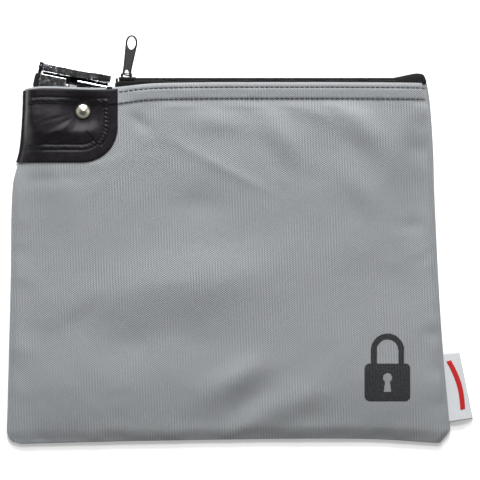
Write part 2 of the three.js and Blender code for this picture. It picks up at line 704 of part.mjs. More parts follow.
function addLock() {
  add(lock, 'lock_base', 'chrome', makeLockBase());
  add(lock, 'lock_case', 'chrome', makeLockCase());
  add(lock, 'lock_end_block', 'black', makeEndBlock());
  add(lock, 'key_plug', 'brass', makeKeyPlug());
  add(lock, 'lock_cam', 'steel', makeLockCam());
  add(lock, 'lock_lid', 'chrome', makeLockLid());
  add(lock, 'lid_knuckle', 'black', makeLidKnuckle());
  add(lock, 'lid_catch', 'steel', makeLidCatch());
  add(lock, 'lid_eye_pin', 'steel', makeEyePin());
  add(lock, 'lid_hinge_pin', 'steel', makeHingePin());
  add(lock, 'lid_spring', 'steel', makeLidSpring());
  knuckleRivetPlaces().forEach((place, i) => {
    add(lock, `knuckle_rivet_${i + 1}`, 'chrome', makeKnuckleRivet(place));
  });
}

addFabric();
addZipper();
addPull();
addRivet();
addLock();

// The origin is at the middle of the whole bag's outline, on the surface that it lies on.
bag.updateMatrixWorld(true);
const whole = new THREE.Box3().setFromObject(bag, true);
bag.position.set(-(whole.min.x + whole.max.x) / 2, -(whole.min.y + whole.max.y) / 2, -whole.min.z);

export default bag;
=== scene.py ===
"""Zipped locking deposit bag lying on its back: cloth, vinyl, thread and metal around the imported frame.

Shapes are worked out in the bag's own millimetres, where the bag's outline is drawn, and are
moved into the row frame, in metres, when they become objects.
"""

import math

import bpy
import numpy as np
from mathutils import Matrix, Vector
from mathutils.bvhtree import BVHTree


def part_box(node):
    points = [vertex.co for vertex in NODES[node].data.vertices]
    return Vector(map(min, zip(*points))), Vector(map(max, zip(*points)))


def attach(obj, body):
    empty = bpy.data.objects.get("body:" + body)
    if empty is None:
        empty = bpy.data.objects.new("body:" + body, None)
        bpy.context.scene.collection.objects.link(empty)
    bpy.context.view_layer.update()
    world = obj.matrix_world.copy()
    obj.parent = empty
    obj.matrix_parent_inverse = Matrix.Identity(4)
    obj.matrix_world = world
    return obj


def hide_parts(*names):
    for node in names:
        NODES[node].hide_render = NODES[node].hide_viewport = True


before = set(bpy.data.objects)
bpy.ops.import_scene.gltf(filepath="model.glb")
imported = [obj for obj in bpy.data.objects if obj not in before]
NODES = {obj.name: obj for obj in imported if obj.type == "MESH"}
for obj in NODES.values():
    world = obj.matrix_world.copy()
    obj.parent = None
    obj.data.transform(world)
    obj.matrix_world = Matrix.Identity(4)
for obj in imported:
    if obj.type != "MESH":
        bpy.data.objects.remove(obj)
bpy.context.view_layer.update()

# ---------------------------------------------------------------- driving dimensions, millimetres

CLOTH = 0.7  # one layer of canvas
CANVAS = 0.9  # room that the frame gives one layer
VINYL = 0.8
GAP = 0.1
HEM_DEEP = 11
MOUTH_INNER = 14.2  # inner face of the front hem
CLOSED = 2.2  # inner face of the front panel at the seams
HEM_ROWS = (3.6, 10.7)  # stitch rows, down from the mouth
STITCH = 3.2
THREADS = (1.9, 1.28)  # repeat of the canvas weave, across and along
RIB = 1.77  # repeat of its upright ribs
RIVET = (-100.4, 82.3)
PATCH = {"right": -78.2, "bottom": 50, "round": 23, "below_edge": 1.6}
PATCH_ROWS = (5.6, 9.0)  # stitch rows, in from the edge of the patch

# Outline of the bag, each edge as points that a smooth curve passes through.
TOP_EDGE = [(-138, 97.3), (-126, 98.6), (-86, 97.8), (-52, 100.6), (38, 101.2), (119, 100.8)]
BOTTOM_EDGE = [(-149, -129.6), (-52, -127.3), (76, -126.2), (134, -129.4)]
LEFT_EDGE = [(98, -138), (82, -138.4), (58, -140.4), (38, -145.3), (-25, -146.6), (-121, -149)]
RIGHT_EDGE = [(101, 118.8), (89, 120.6), (61, 122.6), (26, 123.7), (-51, 127.6), (-121, 133.7)]
CORNER = 8

MM = 0.001
cap_low, cap_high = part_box("rivet_cap")
cap_middle = (cap_low + cap_high) / 2 / MM
SHIFT = np.array([cap_middle.x - RIVET[0], cap_middle.y - RIVET[1], 0])


def to_frame(points):
    return (np.asarray(points, float) + SHIFT) * MM


# ---------------------------------------------------------------- small maths, on whole arrays


def lerp(a, b, t):
    return a + (b - a) * t


def smooth(value, low, high):
    t = np.clip((value - low) / (high - low), 0, 1)
    return t * t * (3 - 2 * t)


def bell(value, width):
    return np.exp(-(value / width) ** 2)


def dome(t):
    return 1 - (1 - np.clip(t, 0, 1)) ** 2


def curve_through(points):
    """A smooth curve through (at, value) points, read at any places along it."""
    known = np.array(sorted(points), float)
    at, value = known[:, 0], known[:, 1]
    before = np.concatenate([[0], np.arange(len(at) - 1)])
    after = np.concatenate([np.arange(1, len(at)), [len(at) - 1]])
    slope = (value[after] - value[before]) / (at[after] - at[before])

    def read(place):
        place = np.asarray(place, float)
        i = np.clip(np.searchsorted(at, place, side="right") - 1, 0, len(at) - 2)
        width = at[i + 1] - at[i]
        t = np.clip((place - at[i]) / width, 0, 1)
        t2, t3 = t * t, t * t * t
        start = (2 * t3 - 3 * t2 + 1) * value[i] + (t3 - 2 * t2 + t) * slope[i] * width
        return start + (3 * t2 - 2 * t3) * value[i + 1] + (t3 - t2) * slope[i + 1] * width

    return read


def rumple(x, y, cell, seed):
    """Smooth random height from -1 to 1, with bumps about one cell across."""
    lattice = np.random.default_rng(seed).uniform(-1, 1, (64, 64))
    u, v = np.asarray(x) / cell + 1000, np.asarray(y) / cell + 1000
    i, j = np.floor(u).astype(int), np.floor(v).astype(int)
    a, b = u - i, v - j
    a, b = a * a * (3 - 2 * a), b * b * (3 - 2 * b)
    low = lerp(lattice[i % 64, j % 64], lattice[(i + 1) % 64, j % 64], a)
    high = lerp(lattice[i % 64, (j + 1) % 64], lattice[(i + 1) % 64, (j + 1) % 64], a)
    return lerp(low, high, b)


# ---------------------------------------------------------------- the bag's surface

top_edge = curve_through(TOP_EDGE)
bottom_edge = curve_through(BOTTOM_EDGE)
left_straight = curve_through(LEFT_EDGE)
right_straight = curve_through(RIGHT_EDGE)


def corner_inset(y):
    up = np.clip((y + 129.5) / CORNER, 0, 1)
    return CORNER * (1 - np.sqrt(1 - (1 - up) ** 2))


def left_edge(y):
    return left_straight(y) + corner_inset(y)


def right_edge(y):
    """The lower right corner is folded in, so it looks cut off rather than round."""
    return right_straight(y) - 6.4 * np.clip(1 - (y + 129.5) / 8.4, 0, 1) ** 1.15


def from_rivet(x, y):
    return np.hypot(x - RIVET[0], y - RIVET[1])


def pinch(x, y, reach):
    return 1 - smooth(from_rivet(x, y), 6.5, reach)


def patch_right(y):
    down = np.clip((PATCH["bottom"] + PATCH["round"] - y) / PATCH["round"], 0, 1)
    return PATCH["right"] - PATCH["round"] * (1 - np.sqrt(1 - down * down))


def beyond_patch(x, y):
    return np.maximum(np.maximum(x - patch_right(y), PATCH["bottom"] - y), 0)


PINCH_FRONT = 8.3  # inner face of the front panel under the rivet
PINCH_BACK = 6.8 - 0.6 - CANVAS - 0.9 - 0.4


def back_under(x, y):
    """Underside of the back panel: flat, and lifted over the patch and at the rivet."""
    over = 1 - smooth(beyond_patch(x, y), 0.8, 8)
    return over * (PINCH_BACK * pinch(x, y, 15.5) + VINYL + GAP)


def front_inner(x, y):
    """Inner face of the front panel: full height along the mouth, falling to the seams."""
    near_mouth = smooth(y, 10, 86)
    from_left = (x - left_edge(y)) / lerp(46, 5.6, near_mouth)
    from_right = (right_edge(y) - x) / lerp(46, 20, near_mouth)
    side = dome(np.minimum(from_left, from_right))
    along = lerp(0.4, 1, smooth(y, -40, 86)) * dome((y - bottom_edge(x)) / 46)
    closed = seam_inner(x, y)
    drawn_in = 1 / (1 + (from_rivet(x, y) / 10) ** 4)
    return lerp(lerp(closed, MOUTH_INNER, side * along), PINCH_FRONT, drawn_in)


def below_mouth(x, y):
    return top_edge(x) - y


def hem_rise(x, y):
    return smooth(below_mouth(x, y), HEM_DEEP + 0.8, HEM_DEEP - 0.4)


def hem_relief(x, y):
    """Stitch rows pull the hem down in grooves, and the cloth ripples between them."""
    down = below_mouth(x, y)
    rows = sum(bell(down - row, 0.75) for row in HEM_ROWS)
    holes = 0.75 + 0.25 * np.cos(2 * np.pi * x / STITCH)
    ripple = rumple(x, y * 0.35, 5.5, 3) * bell(down - 7, 5) * 0.22
    return ripple - 0.5 * rows * holes


# Soft folds of the empty bag: middle, direction in degrees, half length, half width, height.
FOLDS = [
    ((-14, 75.5), -9, 22, 7, 1.2),
    ((26, 67), -55, 21, 9, 2.3),
    ((47, 84), -40, 14, 6, 1.0),
    ((77, 73), -48, 22, 9, 2.9),
    ((76, 33), -50, 22, 9, 1.3),
    ((-14, 48), -28, 30, 2.6, 0.35),
    ((-26, 22), 0, 21, 9, -0.8),
    ((-64, 75), -35, 9, 4, -0.9),
    ((-30, -27), 6, 64, 21, 3.4),
    ((-72, -62), -6, 50, 14, -1.2),
    ((-4, -87), 36, 18, 8, 2.2),
    ((9, -99), 36, 19, 8, -1.9),
    ((32, -103), 20, 24, 9, 1.2),
    ((-102, -50), 35, 18, 6, -0.6),
    ((114, 57), -18, 9, 5, -1.1),
    ((111, 10), 4, 12, 5, -0.7),
    ((118, -12), 8, 9, 4, -0.5),
    ((-122, 40), 3, 20, 5, -0.9),
]


def folds(x, y):
    height = 0
    for (u, v), turn, long, wide, rise in FOLDS:
        c, s = math.cos(math.radians(turn)), math.sin(math.radians(turn))
        along = (x - u) * c + (y - v) * s
        across = (y - v) * c - (x - u) * s
        height = height + rise * bell(along, long) * bell(across, wide)
    return height


def in_from_sides(x, y):
    """Distance in from the nearer side seam."""
    return np.minimum(x - left_edge(y), right_edge(y) - x)


def seam_pucker(x, y, seed):
    """Small gathers that run in from the sewn sides and the bottom."""
    side = in_from_sides(x, y)
    foot = y - bottom_edge(x)
    calm = smooth(below_mouth(x, y), 8, 26)
    gathers = rumple(x * 0.18, y, 7.5, seed) * bell(side, 11) * calm
    gathers = gathers + rumple(x, y * 0.18, 8.5, seed + 1) * bell(foot, 11)
    return 0.55 * gathers * smooth(np.minimum(side, foot), 0, 2.5)


def under_patch(x, y):
    """How far the canvas keeps clear of the vinyl that covers it, well inside the patch."""
    inside = np.minimum(patch_right(y) - x, y - PATCH["bottom"])
    return (0.9 + 0.8 * pinch(x, y, 20)) * smooth(inside, 1, 5) * smooth(below_mouth(x, y), 2.4, 5)


def foot_roll(x, y):
    """The seam allowance inside the bottom edge fills it out, most of all to the right."""
    return lerp(0.6, 1.5, smooth(x, -60, 120)) * smooth(y - bottom_edge(x), 0.3, 9)


def seam_inner(x, y):
    """Inner face of the front panel where it is sewn to the back panel."""
    return np.maximum(CLOSED, back_under(x, y) + CANVAS + 0.3)


def off_sides(x, y, reach):
    """0 at the side seams, and 1 from a given distance inwards."""
    return smooth(in_from_sides(x, y), 0.4, reach)


def front_skin(x, y):
    """Outer face of the front panel."""
    calm = smooth(beyond_patch(x, y), 1, 14)
    free = smooth(below_mouth(x, y), 10, 22)
    inside = smooth(in_from_sides(x, y), 0, 12) * smooth(y - bottom_edge(x), 0, 14)
    soft = (folds(x, y) + 0.3 * rumple(x, y, 24, 5)) * inside
    relief = soft * free + seam_pucker(x, y, 11) + foot_roll(x, y)
    rounded = 0.9 * (1 - np.clip(below_mouth(x, y) / 3, 0, 1)) ** 2
    plain = front_inner(x, y) + CANVAS + CLOTH * hem_rise(x, y) - rounded - under_patch(x, y)
    tipped_hem = 1.15 * smooth(below_mouth(x, y), 13, 2)
    lifted = 1.3 * smooth(below_mouth(x, y), 44, 10) * (1 - 0.8 * bell(x + 5, 42))
    open_skin = plain + (hem_relief(x, y) + relief + (tipped_hem + lifted)) * calm
    return lerp(seam_inner(x, y) + CANVAS - 0.2, open_skin, off_sides(x, y, 4.5))


# ---------------------------------------------------------------- meshes


def make(name, points, faces, placed=False):
    mesh = bpy.data.meshes.new(name)
    points = np.asarray(points, float) if placed else to_frame(points)
    mesh.from_pydata(points.tolist(), [], faces)
    mesh.validate()
    mesh.shade_smooth()
    piece = bpy.data.objects.new(name, mesh)
    bpy.context.scene.collection.objects.link(piece)
    return piece


def grid_faces(rows, columns, keep=None):
    return [
        (r * columns + c, r * columns + c + 1, (r + 1) * columns + c + 1, (r + 1) * columns + c)
        for r in range(rows - 1)
        for c in range(columns - 1)
        if keep is None or keep(r, c)
    ]


def thicken(piece, thickness, offset=0.0):
    solid = piece.modifiers.new("thickness", "SOLIDIFY")
    solid.thickness = thickness * MM
    solid.offset = offset
    solid.use_even_offset = False
    return piece


def tube(points, radius, sides=6, start=0):
    """Points and faces of a round tube along a path."""
    path = np.asarray(points, float)
    ahead = np.gradient(path, axis=0)
    ahead /= np.linalg.norm(ahead, axis=1)[:, None] + 1e-12
    across = np.cross(ahead[0], [0.13, 0.24, 0.96])
    normals = []
    for direction in ahead:
        across = across - direction * (across @ direction)
        across /= np.linalg.norm(across)
        normals.append(across)
    normals = np.array(normals)
    second = np.cross(ahead, normals)
    angles = np.arange(sides) * 2 * np.pi / sides
    c, s = np.cos(angles)[None, :, None], np.sin(angles)[None, :, None]
    verts = (path[:, None] + radius * (c * normals[:, None] + s * second[:, None])).reshape(-1, 3)
    faces = []
    last = start + (len(path) - 1) * sides
    for a in range(start, last, sides):
        for k in range(sides):
            n = (k + 1) % sides
            faces.append((a + k, a + sides + k, a + sides + n, a + n))
    faces.append(tuple(start + k for k in range(sides)))
    faces.append(tuple(last + k for k in reversed(range(sides))))
    return verts, faces


def tubes(name, paths, radius, sides=6):
    verts, faces = [], []
    total = 0
    for path in paths:
        more, skin = tube(path, radius, sides, total)
        verts.append(more)
        faces += skin
        total += len(more)
    return make(name, np.concatenate(verts), faces)


def lathe(profile, centre, sides=64):
    """Points and faces of a turned shape; the profile is (radius, height) from axis to axis."""
    rings = np.array(profile[1:-1], float)
    angles = np.arange(sides) * 2 * np.pi / sides
    verts = [(centre[0], centre[1], profile[0][1])]
    for radius, height in rings:
        for a in angles:
            verts.append((centre[0] + radius * math.cos(a), centre[1] + radius * math.sin(a), height))
    verts.append((centre[0], centre[1], profile[-1][1]))
    faces = [(0, 1 + (k + 1) % sides, 1 + k) for k in range(sides)]
    for i in range(len(rings) - 1):
        a, b = 1 + i * sides, 1 + (i + 1) * sides
        for k in range(sides):
            n = (k + 1) % sides
            faces.append((a + k, a + n, b + n, b + k))
    last, end = 1 + (len(rings) - 1) * sides, len(verts) - 1
    faces += [(last + k, last + (k + 1) % sides, end) for k in range(sides)]
    return verts, faces


def surface_of(piece):
    mesh = piece.evaluated_get(bpy.context.evaluated_depsgraph_get()).data
    return BVHTree.FromPolygons([v.co for v in mesh.vertices], [p.vertices for p in mesh.polygons])


def drop(tree, x, y, up=True):
    """Height of a surface, seen from above or from below, at a place on the bag."""
    spot = to_frame([x, y, 60 if up else -60])
    hit = tree.ray_cast(Vector(spot), Vector((0, 0, -1 if up else 1)))[0]
    return None if hit is None else hit.z / MM


def outward_of(line):
    """For a line of points, the flat direction to its right-hand side."""
    ahead = np.gradient(line[:, :2], axis=0)
    ahead /= np.linalg.norm(ahead, axis=1)[:, None]
    return np.stack([ahead[:, 1], -ahead[:, 0], np.zeros(len(line))], 1)


def rolled(edge, outward, radius, drop_by, tuck, turns=(60, 20, -20, -60, -90), steps=2):
    """Lines of points that carry a cloth edge round a small roll and then in under itself."""
    up = np.array([0, 0, 1.0])
    lines = []
    for angle in turns:
        a = math.radians(angle)
        lines.append(edge + outward * radius * math.cos(a) + up * drop_by * (math.sin(a) - 1) / 2)
    for step in range(1, steps + 1):
        lines.append(edge - outward * tuck * step / steps - up * drop_by)
    return lines


# ---------------------------------------------------------------- materials


class Paint:
    """A material that is being wired up."""

    def __init__(self, name, **values):
        self.material = bpy.data.materials.new(name)
        self.material.use_nodes = True
        self.tree = self.material.node_tree
        self.shader = self.tree.nodes["Principled BSDF"]
        self.coordinates = self.add("ShaderNodeTexCoord").outputs["Object"]
        for socket, value in values.items():
            self.shader.inputs[socket.replace("_", " ")].default_value = value

    def add(self, kind, **settings):
        node = self.tree.nodes.new(kind)
        for key, value in settings.items():
            setattr(node, key, value)
        return node

    def feed(self, socket, value):
        if isinstance(value, bpy.types.NodeSocket):
            self.tree.links.new(value, socket)
        else:
            socket.default_value = value

    def math(self, operation, a, b=0.0, c=0.0):
        """One step of arithmetic on numbers or sockets."""
        node = self.add("ShaderNodeMath", operation=operation)
        for socket, value in zip(node.inputs, (a, b, c)):
            self.feed(socket, value)
        return node.outputs[0]

    def axes(self):
        node = self.add("ShaderNodeSeparateXYZ")
        self.feed(node.inputs[0], self.coordinates)
        return node.outputs

    def noise(self, size, detail=2.0, roughness=0.5, stretch=None):
        """Noise whose bumps are about size millimetres across."""
        node = self.add("ShaderNodeTexNoise")
        where = self.coordinates
        if stretch:
            mapping = self.add("ShaderNodeMapping")
            mapping.inputs["Scale"].default_value = stretch
            self.feed(mapping.inputs["Vector"], where)
            where = mapping.outputs[0]
        self.feed(node.inputs["Vector"], where)
        node.inputs["Scale"].default_value = 1 / (size * MM)
        node.inputs["Detail"].default_value = detail
        node.inputs["Roughness"].default_value = roughness
        return node.outputs["Fac"]

    def cells(self, size):
        node = self.add("ShaderNodeTexVoronoi")
        self.feed(node.inputs["Vector"], self.coordinates)
        node.inputs["Scale"].default_value = 1 / (size * MM)
        return node.outputs["Distance"]

    def ramp(self, value, stops):
        node = self.add("ShaderNodeValToRGB")
        stop = node.color_ramp.elements
        stop[0].position, stop[0].color = stops[0][0], rgb(stops[0][1])
        stop[1].position, stop[1].color = stops[-1][0], rgb(stops[-1][1])
        for place, colour in stops[1:-1]:
            stop.new(place).color = rgb(colour)
        self.feed(node.inputs[0], value)
        return node.outputs[0]

    def between(self, value, low, high):
        """Maps 0 to 1 onto low to high."""
        node = self.add("ShaderNodeMapRange")
        node.inputs["To Min"].default_value = low
        node.inputs["To Max"].default_value = high
        self.feed(node.inputs["Value"], value)
        return node.outputs[0]

    def mix(self, share, a, b):
        node = self.add("ShaderNodeMix", data_type="RGBA")
        self.feed(node.inputs["Factor"], share)
        self.feed(node.inputs[6], a)
        self.feed(node.inputs[7], b)
        return node.outputs[2]

    def bump(self, height, depth, strength=1.0):
        """Bumps depth millimetres deep; a second call adds to the first."""
        node = self.add("ShaderNodeBump")
        node.inputs["Strength"].default_value = strength
        node.inputs["Distance"].default_value = depth * MM
        self.feed(node.inputs["Height"], height)
        earlier = self.shader.inputs["Normal"].links
        if earlier:
            self.feed(node.inputs["Normal"], earlier[0].from_socket)
        self.feed(self.shader.inputs["Normal"], node.outputs[0])

    def colour(self, value):
        self.feed(self.shader.inputs["Base Color"], value)

    def roughness(self, value):
        self.feed(self.shader.inputs["Roughness"], value)


def rgb(level):
    """A linear colour from sRGB numbers of 0 to 255, or one grey level."""
    values = (level, level, level) if isinstance(level, (int, float)) else level
    return (*[((v / 255 + 0.055) / 1.055) ** 2.4 if v > 10 else v / 255 / 12.92 for v in values], 1.0)


def waves(paint, place, repeat):
    """A sine wave along a socket of places, with its repeat in millimetres."""
    return paint.math("SINE", paint.math("MULTIPLY", place, 2 * math.pi / (repeat * MM)))


def weave(paint, wide, tall):
    """Height of a plain weave, from 0 to 1: its repeat is wide across the cloth and tall along it."""
    x, y, _ = paint.axes()
    wander = paint.math("MULTIPLY", paint.noise(9, 1), 0.2 * MM)
    across = waves(paint, paint.math("ADD", x, wander), wide)
    along = waves(paint, paint.math("ADD", y, wander), tall)
    return paint.math("MULTIPLY_ADD", paint.math("MULTIPLY", across, along), 0.5, 0.5)


def canvas_threads(paint):
    """Plain weave that reads as checks in one place and as upright ribs in another."""
    checks = weave(paint, *THREADS)
    x, y, _ = paint.axes()
    lean = paint.math("MULTIPLY_ADD", y, 0.04, x)
    ribs = paint.math("MULTIPLY_ADD", waves(paint, lean, RIB), 0.5, 0.5)
    patches = paint.ramp(paint.noise(18, 2), [(0.44, 0), (0.62, 170)])
    slubs = paint.noise(0.8, 3, 0.6, stretch=(1, 0.35, 1))
    woven = paint.mix(patches, checks, ribs)
    return paint.math("ADD", paint.math("MULTIPLY", woven, 0.74), paint.math("MULTIPLY", slubs, 0.26))


def canvas_paint():
    paint = Paint("canvas", Sheen_Weight=0.08, Sheen_Roughness=0.5, Specular_IOR_Level=0.2)
    threads = canvas_threads(paint)
    grain = paint.noise(0.45, 2)
    cloud = paint.noise(34, 3, 0.6)
    base = paint.ramp(threads, [(0.12, (86, 88, 90)), (0.88, (162, 166, 169))])
    paint.colour(paint.mix(paint.between(cloud, -0.1, 0.4), base, rgb((132, 133, 135))))
    paint.roughness(paint.between(grain, 0.74, 0.92))
    paint.bump(threads, 0.2)
    paint.bump(grain, 0.05)
    return paint.material


def vinyl_paint():
    paint = Paint("vinyl", Specular_IOR_Level=0.13)
    grain = paint.cells(0.9)
    fine = paint.noise(3.5, 4, 0.6)
    paint.colour(paint.ramp(fine, [(0.3, (20, 18, 21)), (0.7, (31, 28, 33))]))
    paint.roughness(paint.between(fine, 0.36, 0.52))
    paint.bump(grain, 0.03)
    paint.bump(fine, 0.12)
    return paint.material


def thread_paint(name, dark, light):
    paint = Paint(name, Sheen_Weight=0.05, Specular_IOR_Level=0.25)
    twist = paint.noise(0.5, 2, stretch=(1, 2.5, 1))
    paint.colour(paint.ramp(twist, [(0.3, dark), (0.7, light)]))
    paint.roughness(paint.between(twist, 0.55, 0.8))
    paint.bump(twist, 0.08)
    return paint.material


def tape_paint(name="zipper_tape", dark=(6, 6, 7), light=(20, 20, 22)):
    """Herringbone tape: ribs that lean one way, then the other."""
    paint = Paint(name, Sheen_Weight=0.04, Specular_IOR_Level=0.15)
    x, y, z = paint.axes()
    zigzag = paint.math("PINGPONG", paint.math("ADD", y, z), 1.1 * MM)
    ribs = waves(paint, paint.math("ADD", x, zigzag), 0.7)
    height = paint.math("MULTIPLY_ADD", ribs, 0.5, 0.5)
    fuzz = paint.noise(0.6, 3)
    threads = paint.ramp(height, [(0.1, dark), (0.9, light)])
    paint.colour(paint.mix(paint.between(fuzz, 0.2, 0.8), threads, rgb(dark)))
    paint.roughness(paint.between(fuzz, 0.6, 0.85))
    paint.bump(height, 0.14)
    return paint.material


def metal_paint(name, dark, light, smoothest, roughest, scratch=0.02, metallic=1.0, coat=0.0):
    """Metal or enamel with fine scuffs: smudges change its gloss, and long scratches its normal."""
    shine = 0.5 if metallic else 0.24
    paint = Paint(name, Metallic=metallic, Coat_Weight=coat, Coat_Roughness=0.12, Specular_IOR_Level=shine)
    smudge = paint.noise(6, 4, 0.6)
    scuff = paint.noise(1.4, 3, 0.7, stretch=(0.12, 1, 1))
    paint.colour(paint.ramp(smudge, [(0.3, dark), (0.7, light)]))
    paint.roughness(paint.between(paint.math("MULTIPLY", smudge, scuff), smoothest, roughest))
    paint.bump(scuff, scratch)
    return paint.material


def chrome_paint():
    """Plated sheet metal: bright where it is clean, clouded and pitted in between."""
    paint = Paint("chrome", Metallic=1.0)
    cloud = paint.noise(3.2, 5, 0.7)
    pits = paint.noise(1.3, 3, 0.6, stretch=(0.5, 1, 1))
    paint.colour(paint.ramp(cloud, [(0.36, (132, 133, 137)), (0.62, (236, 237, 240))]))
    paint.roughness(paint.between(paint.math("MULTIPLY", cloud, pits), 0.05, 0.6))
    paint.bump(pits, 0.016)
    return paint.material


def plastic_paint():
    paint = Paint("lock_black", Specular_IOR_Level=0.5)
    grain = paint.noise(0.5, 3)
    smudge = paint.noise(4, 3)
    paint.colour(paint.ramp(smudge, [(0.3, (9, 9, 10)), (0.7, (19, 19, 21))]))
    paint.roughness(paint.between(smudge, 0.22, 0.42))
    paint.bump(grain, 0.02)
    return paint.material


def label_paint():
    paint = Paint("label", Sheen_Weight=0.3)
    threads = weave(paint, 0.7, 0.5)
    paint.colour(paint.ramp(threads, [(0.1, (172, 174, 177)), (0.9, (204, 206, 209))]))
    paint.roughness(paint.between(threads, 0.6, 0.85))
    paint.bump(threads, 0.06)
    return paint.material


def ink_paint(name, dark, light):
    """Ink on canvas: it takes the weave, and thins out on the high threads."""
    paint = Paint(name, Specular_IOR_Level=0.25)
    threads = canvas_threads(paint)
    worn = paint.noise(1.2, 3, 0.6)
    level = paint.math("MULTIPLY", threads, worn)
    paint.colour(paint.ramp(level, [(0.2, dark), (0.62, light)]))
    paint.roughness(paint.between(worn, 0.6, 0.85))
    paint.bump(threads, 0.14)
    return paint.material


PAINTS = {
    "canvas": canvas_paint(),
    "vinyl": vinyl_paint(),
    "binding": tape_paint("binding", (20, 20, 23), (46, 46, 50)),
    "label": label_paint(),
    "zipper_tape": tape_paint(),
    "zipper_coil": metal_paint("zipper_coil", 3, 8, 0.6, 0.9, metallic=0.0),
    "stop_metal": metal_paint("stop_metal", 20, 36, 0.25, 0.5, metallic=0.0),
    "slider_enamel": metal_paint("slider_enamel", 14, 30, 0.2, 0.42, metallic=0.0, coat=0.15),
    "nickel": metal_paint("nickel", (214, 209, 190), (238, 234, 218), 0.22, 0.4, scratch=0.01),
    "chrome": chrome_paint(),
    "lock_black": plastic_paint(),
    "brass": metal_paint("brass", (96, 79, 48), (128, 106, 66), 0.25, 0.5),
    "steel": metal_paint("steel", (86, 87, 91), (124, 125, 130), 0.18, 0.42),
    "thread": thread_paint("thread", (8, 8, 9), (30, 31, 33)),
    "black_thread": thread_paint("black_thread", (5, 5, 6), (26, 25, 28)),
    "ink": ink_paint("ink", (30, 30, 33), (74, 76, 79)),
    "red_thread": thread_paint("red_thread", (142, 14, 16), (196, 30, 28)),
}


def finish_piece(piece, slot, body="bag", stands_for=(), paint=None):
    """Gives a piece the material of its slot and its body, and hides the frame nodes that it stands for."""
    piece.data.materials.clear()
    piece.data.materials.append(PAINTS[paint or slot])
    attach(piece, body)
    if stands_for:
        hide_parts(*stands_for)
    return piece


# ---------------------------------------------------------------- camera, light and floor

VIEW_SPAN = 306.2 * MM
LENS = 500
AIM = (-0.4, 0.6)


def studio_walls(tree):
    """Pale walls all round and a dark ceiling, so that polished metal has something to mirror."""
    towards = tree.nodes.new("ShaderNodeTexCoord")
    parts = tree.nodes.new("ShaderNodeSeparateXYZ")
    height = tree.nodes.new("ShaderNodeValToRGB")
    for place, level in ((0.0, 255), (0.62, 250), (0.8, 140), (0.93, 84)):
        stop = height.color_ramp.elements.new(place)
        stop.color = rgb(level)
    height.color_ramp.elements.remove(height.color_ramp.elements[0])
    height.color_ramp.elements.remove(height.color_ramp.elements[-1])
    sky = tree.nodes["Background"]
    sky.inputs["Strength"].default_value = 0.4
    tree.links.new(towards.outputs["Generated"], parts.inputs[0])
    tree.links.new(parts.outputs["Z"], height.inputs[0])
    tree.links.new(height.outputs[0], sky.inputs["Color"])


def make_stage():
    scene = bpy.context.scene
    camera = bpy.data.objects.new("camera", bpy.data.cameras.new("camera"))
    camera.data.lens = LENS
    scene.collection.objects.link(camera)
    scene.camera = camera
    middle = to_frame([*AIM, 0])
    camera.location = (middle[0], middle[1], VIEW_SPAN * LENS / camera.data.sensor_width)
    camera.data.clip_end = 60

    far = 14
    corners = [(-far, -far, 0), (far, -far, 0), (far, far, 0), (-far, far, 0)]
    floor = make("floor", corners, [(0, 1, 2, 3)], placed=True)
    floor.location.z = -0.0002
    paint = Paint("paper", Specular_IOR_Level=0.1)
    tooth = paint.noise(2, 2)
    paint.colour(paint.ramp(tooth, [(0.3, (249, 249, 249)), (0.7, (252, 252, 252))]))
    paint.roughness(paint.between(tooth, 0.85, 0.95))
    paint.shader.inputs["Emission Color"].default_value = (1, 1, 1, 1)
    paint.shader.inputs["Emission Strength"].default_value = 0.25
    floor.data.materials.append(paint.material)

    lights = [
        ("key", (-0.05, 0.95, 0.52), (0.8, 0.4), 21),
        ("high", (0.05, 0.75, 1.1), (0.5, 0.35), 9),
        ("fill_right", (1.2, 0.2, 0.8), (0.9, 0.9), 1.4),
        ("fill_left", (-1.2, 0.2, 0.8), (0.9, 0.9), 0.5),
    ]
    for name, place, size, power in lights:
        lamp = bpy.data.objects.new(name, bpy.data.lights.new(name, "AREA"))
        lamp.data.shape = "RECTANGLE"
        lamp.data.size, lamp.data.size_y = size
        lamp.data.energy = power
        lamp.location = place
        lamp.rotation_euler = (-Vector(place)).to_track_quat("-Z", "Y").to_euler()
        scene.collection.objects.link(lamp)

    scene.world = bpy.data.worlds.new("studio")
    scene.world.use_nodes = True
    studio_walls(scene.world.node_tree)
    scene.view_settings.view_transform = "Standard"


make_stage()

# ---------------------------------------------------------------- canvas panels

COLUMNS = 220
EDGE_ROLL = 0.45
LEVELS = (-129.5, 100)  # where the sides are read, from the bottom row to the top one
SETTLE_GRID = (92, 112)
SETTLE_FRAMES = 28
CUT_LARGER = 0.012  # share by which the cloth that settles is too large


def as_points(x, y, z):
    return np.stack([x, y, z], -1).reshape(-1, 3)


def panel_places():
    """Places of the panel's grid: rows are close together at the hem."""
    up = np.concatenate([np.linspace(0, 0.925, 140, endpoint=False), np.linspace(0.925, 1, 44)])
    across = np.linspace(0, 1, COLUMNS)
    up, across = np.meshgrid(up, across, indexing="ij")
    level = lerp(*LEVELS, up)
    inset = EDGE_ROLL + CLOTH / 2
    x = lerp(left_edge(level) + inset, right_edge(level) - inset, across)
    return x, lerp(bottom_edge(x) + inset, top_edge(x) - 0.65 - CLOTH / 2, up)


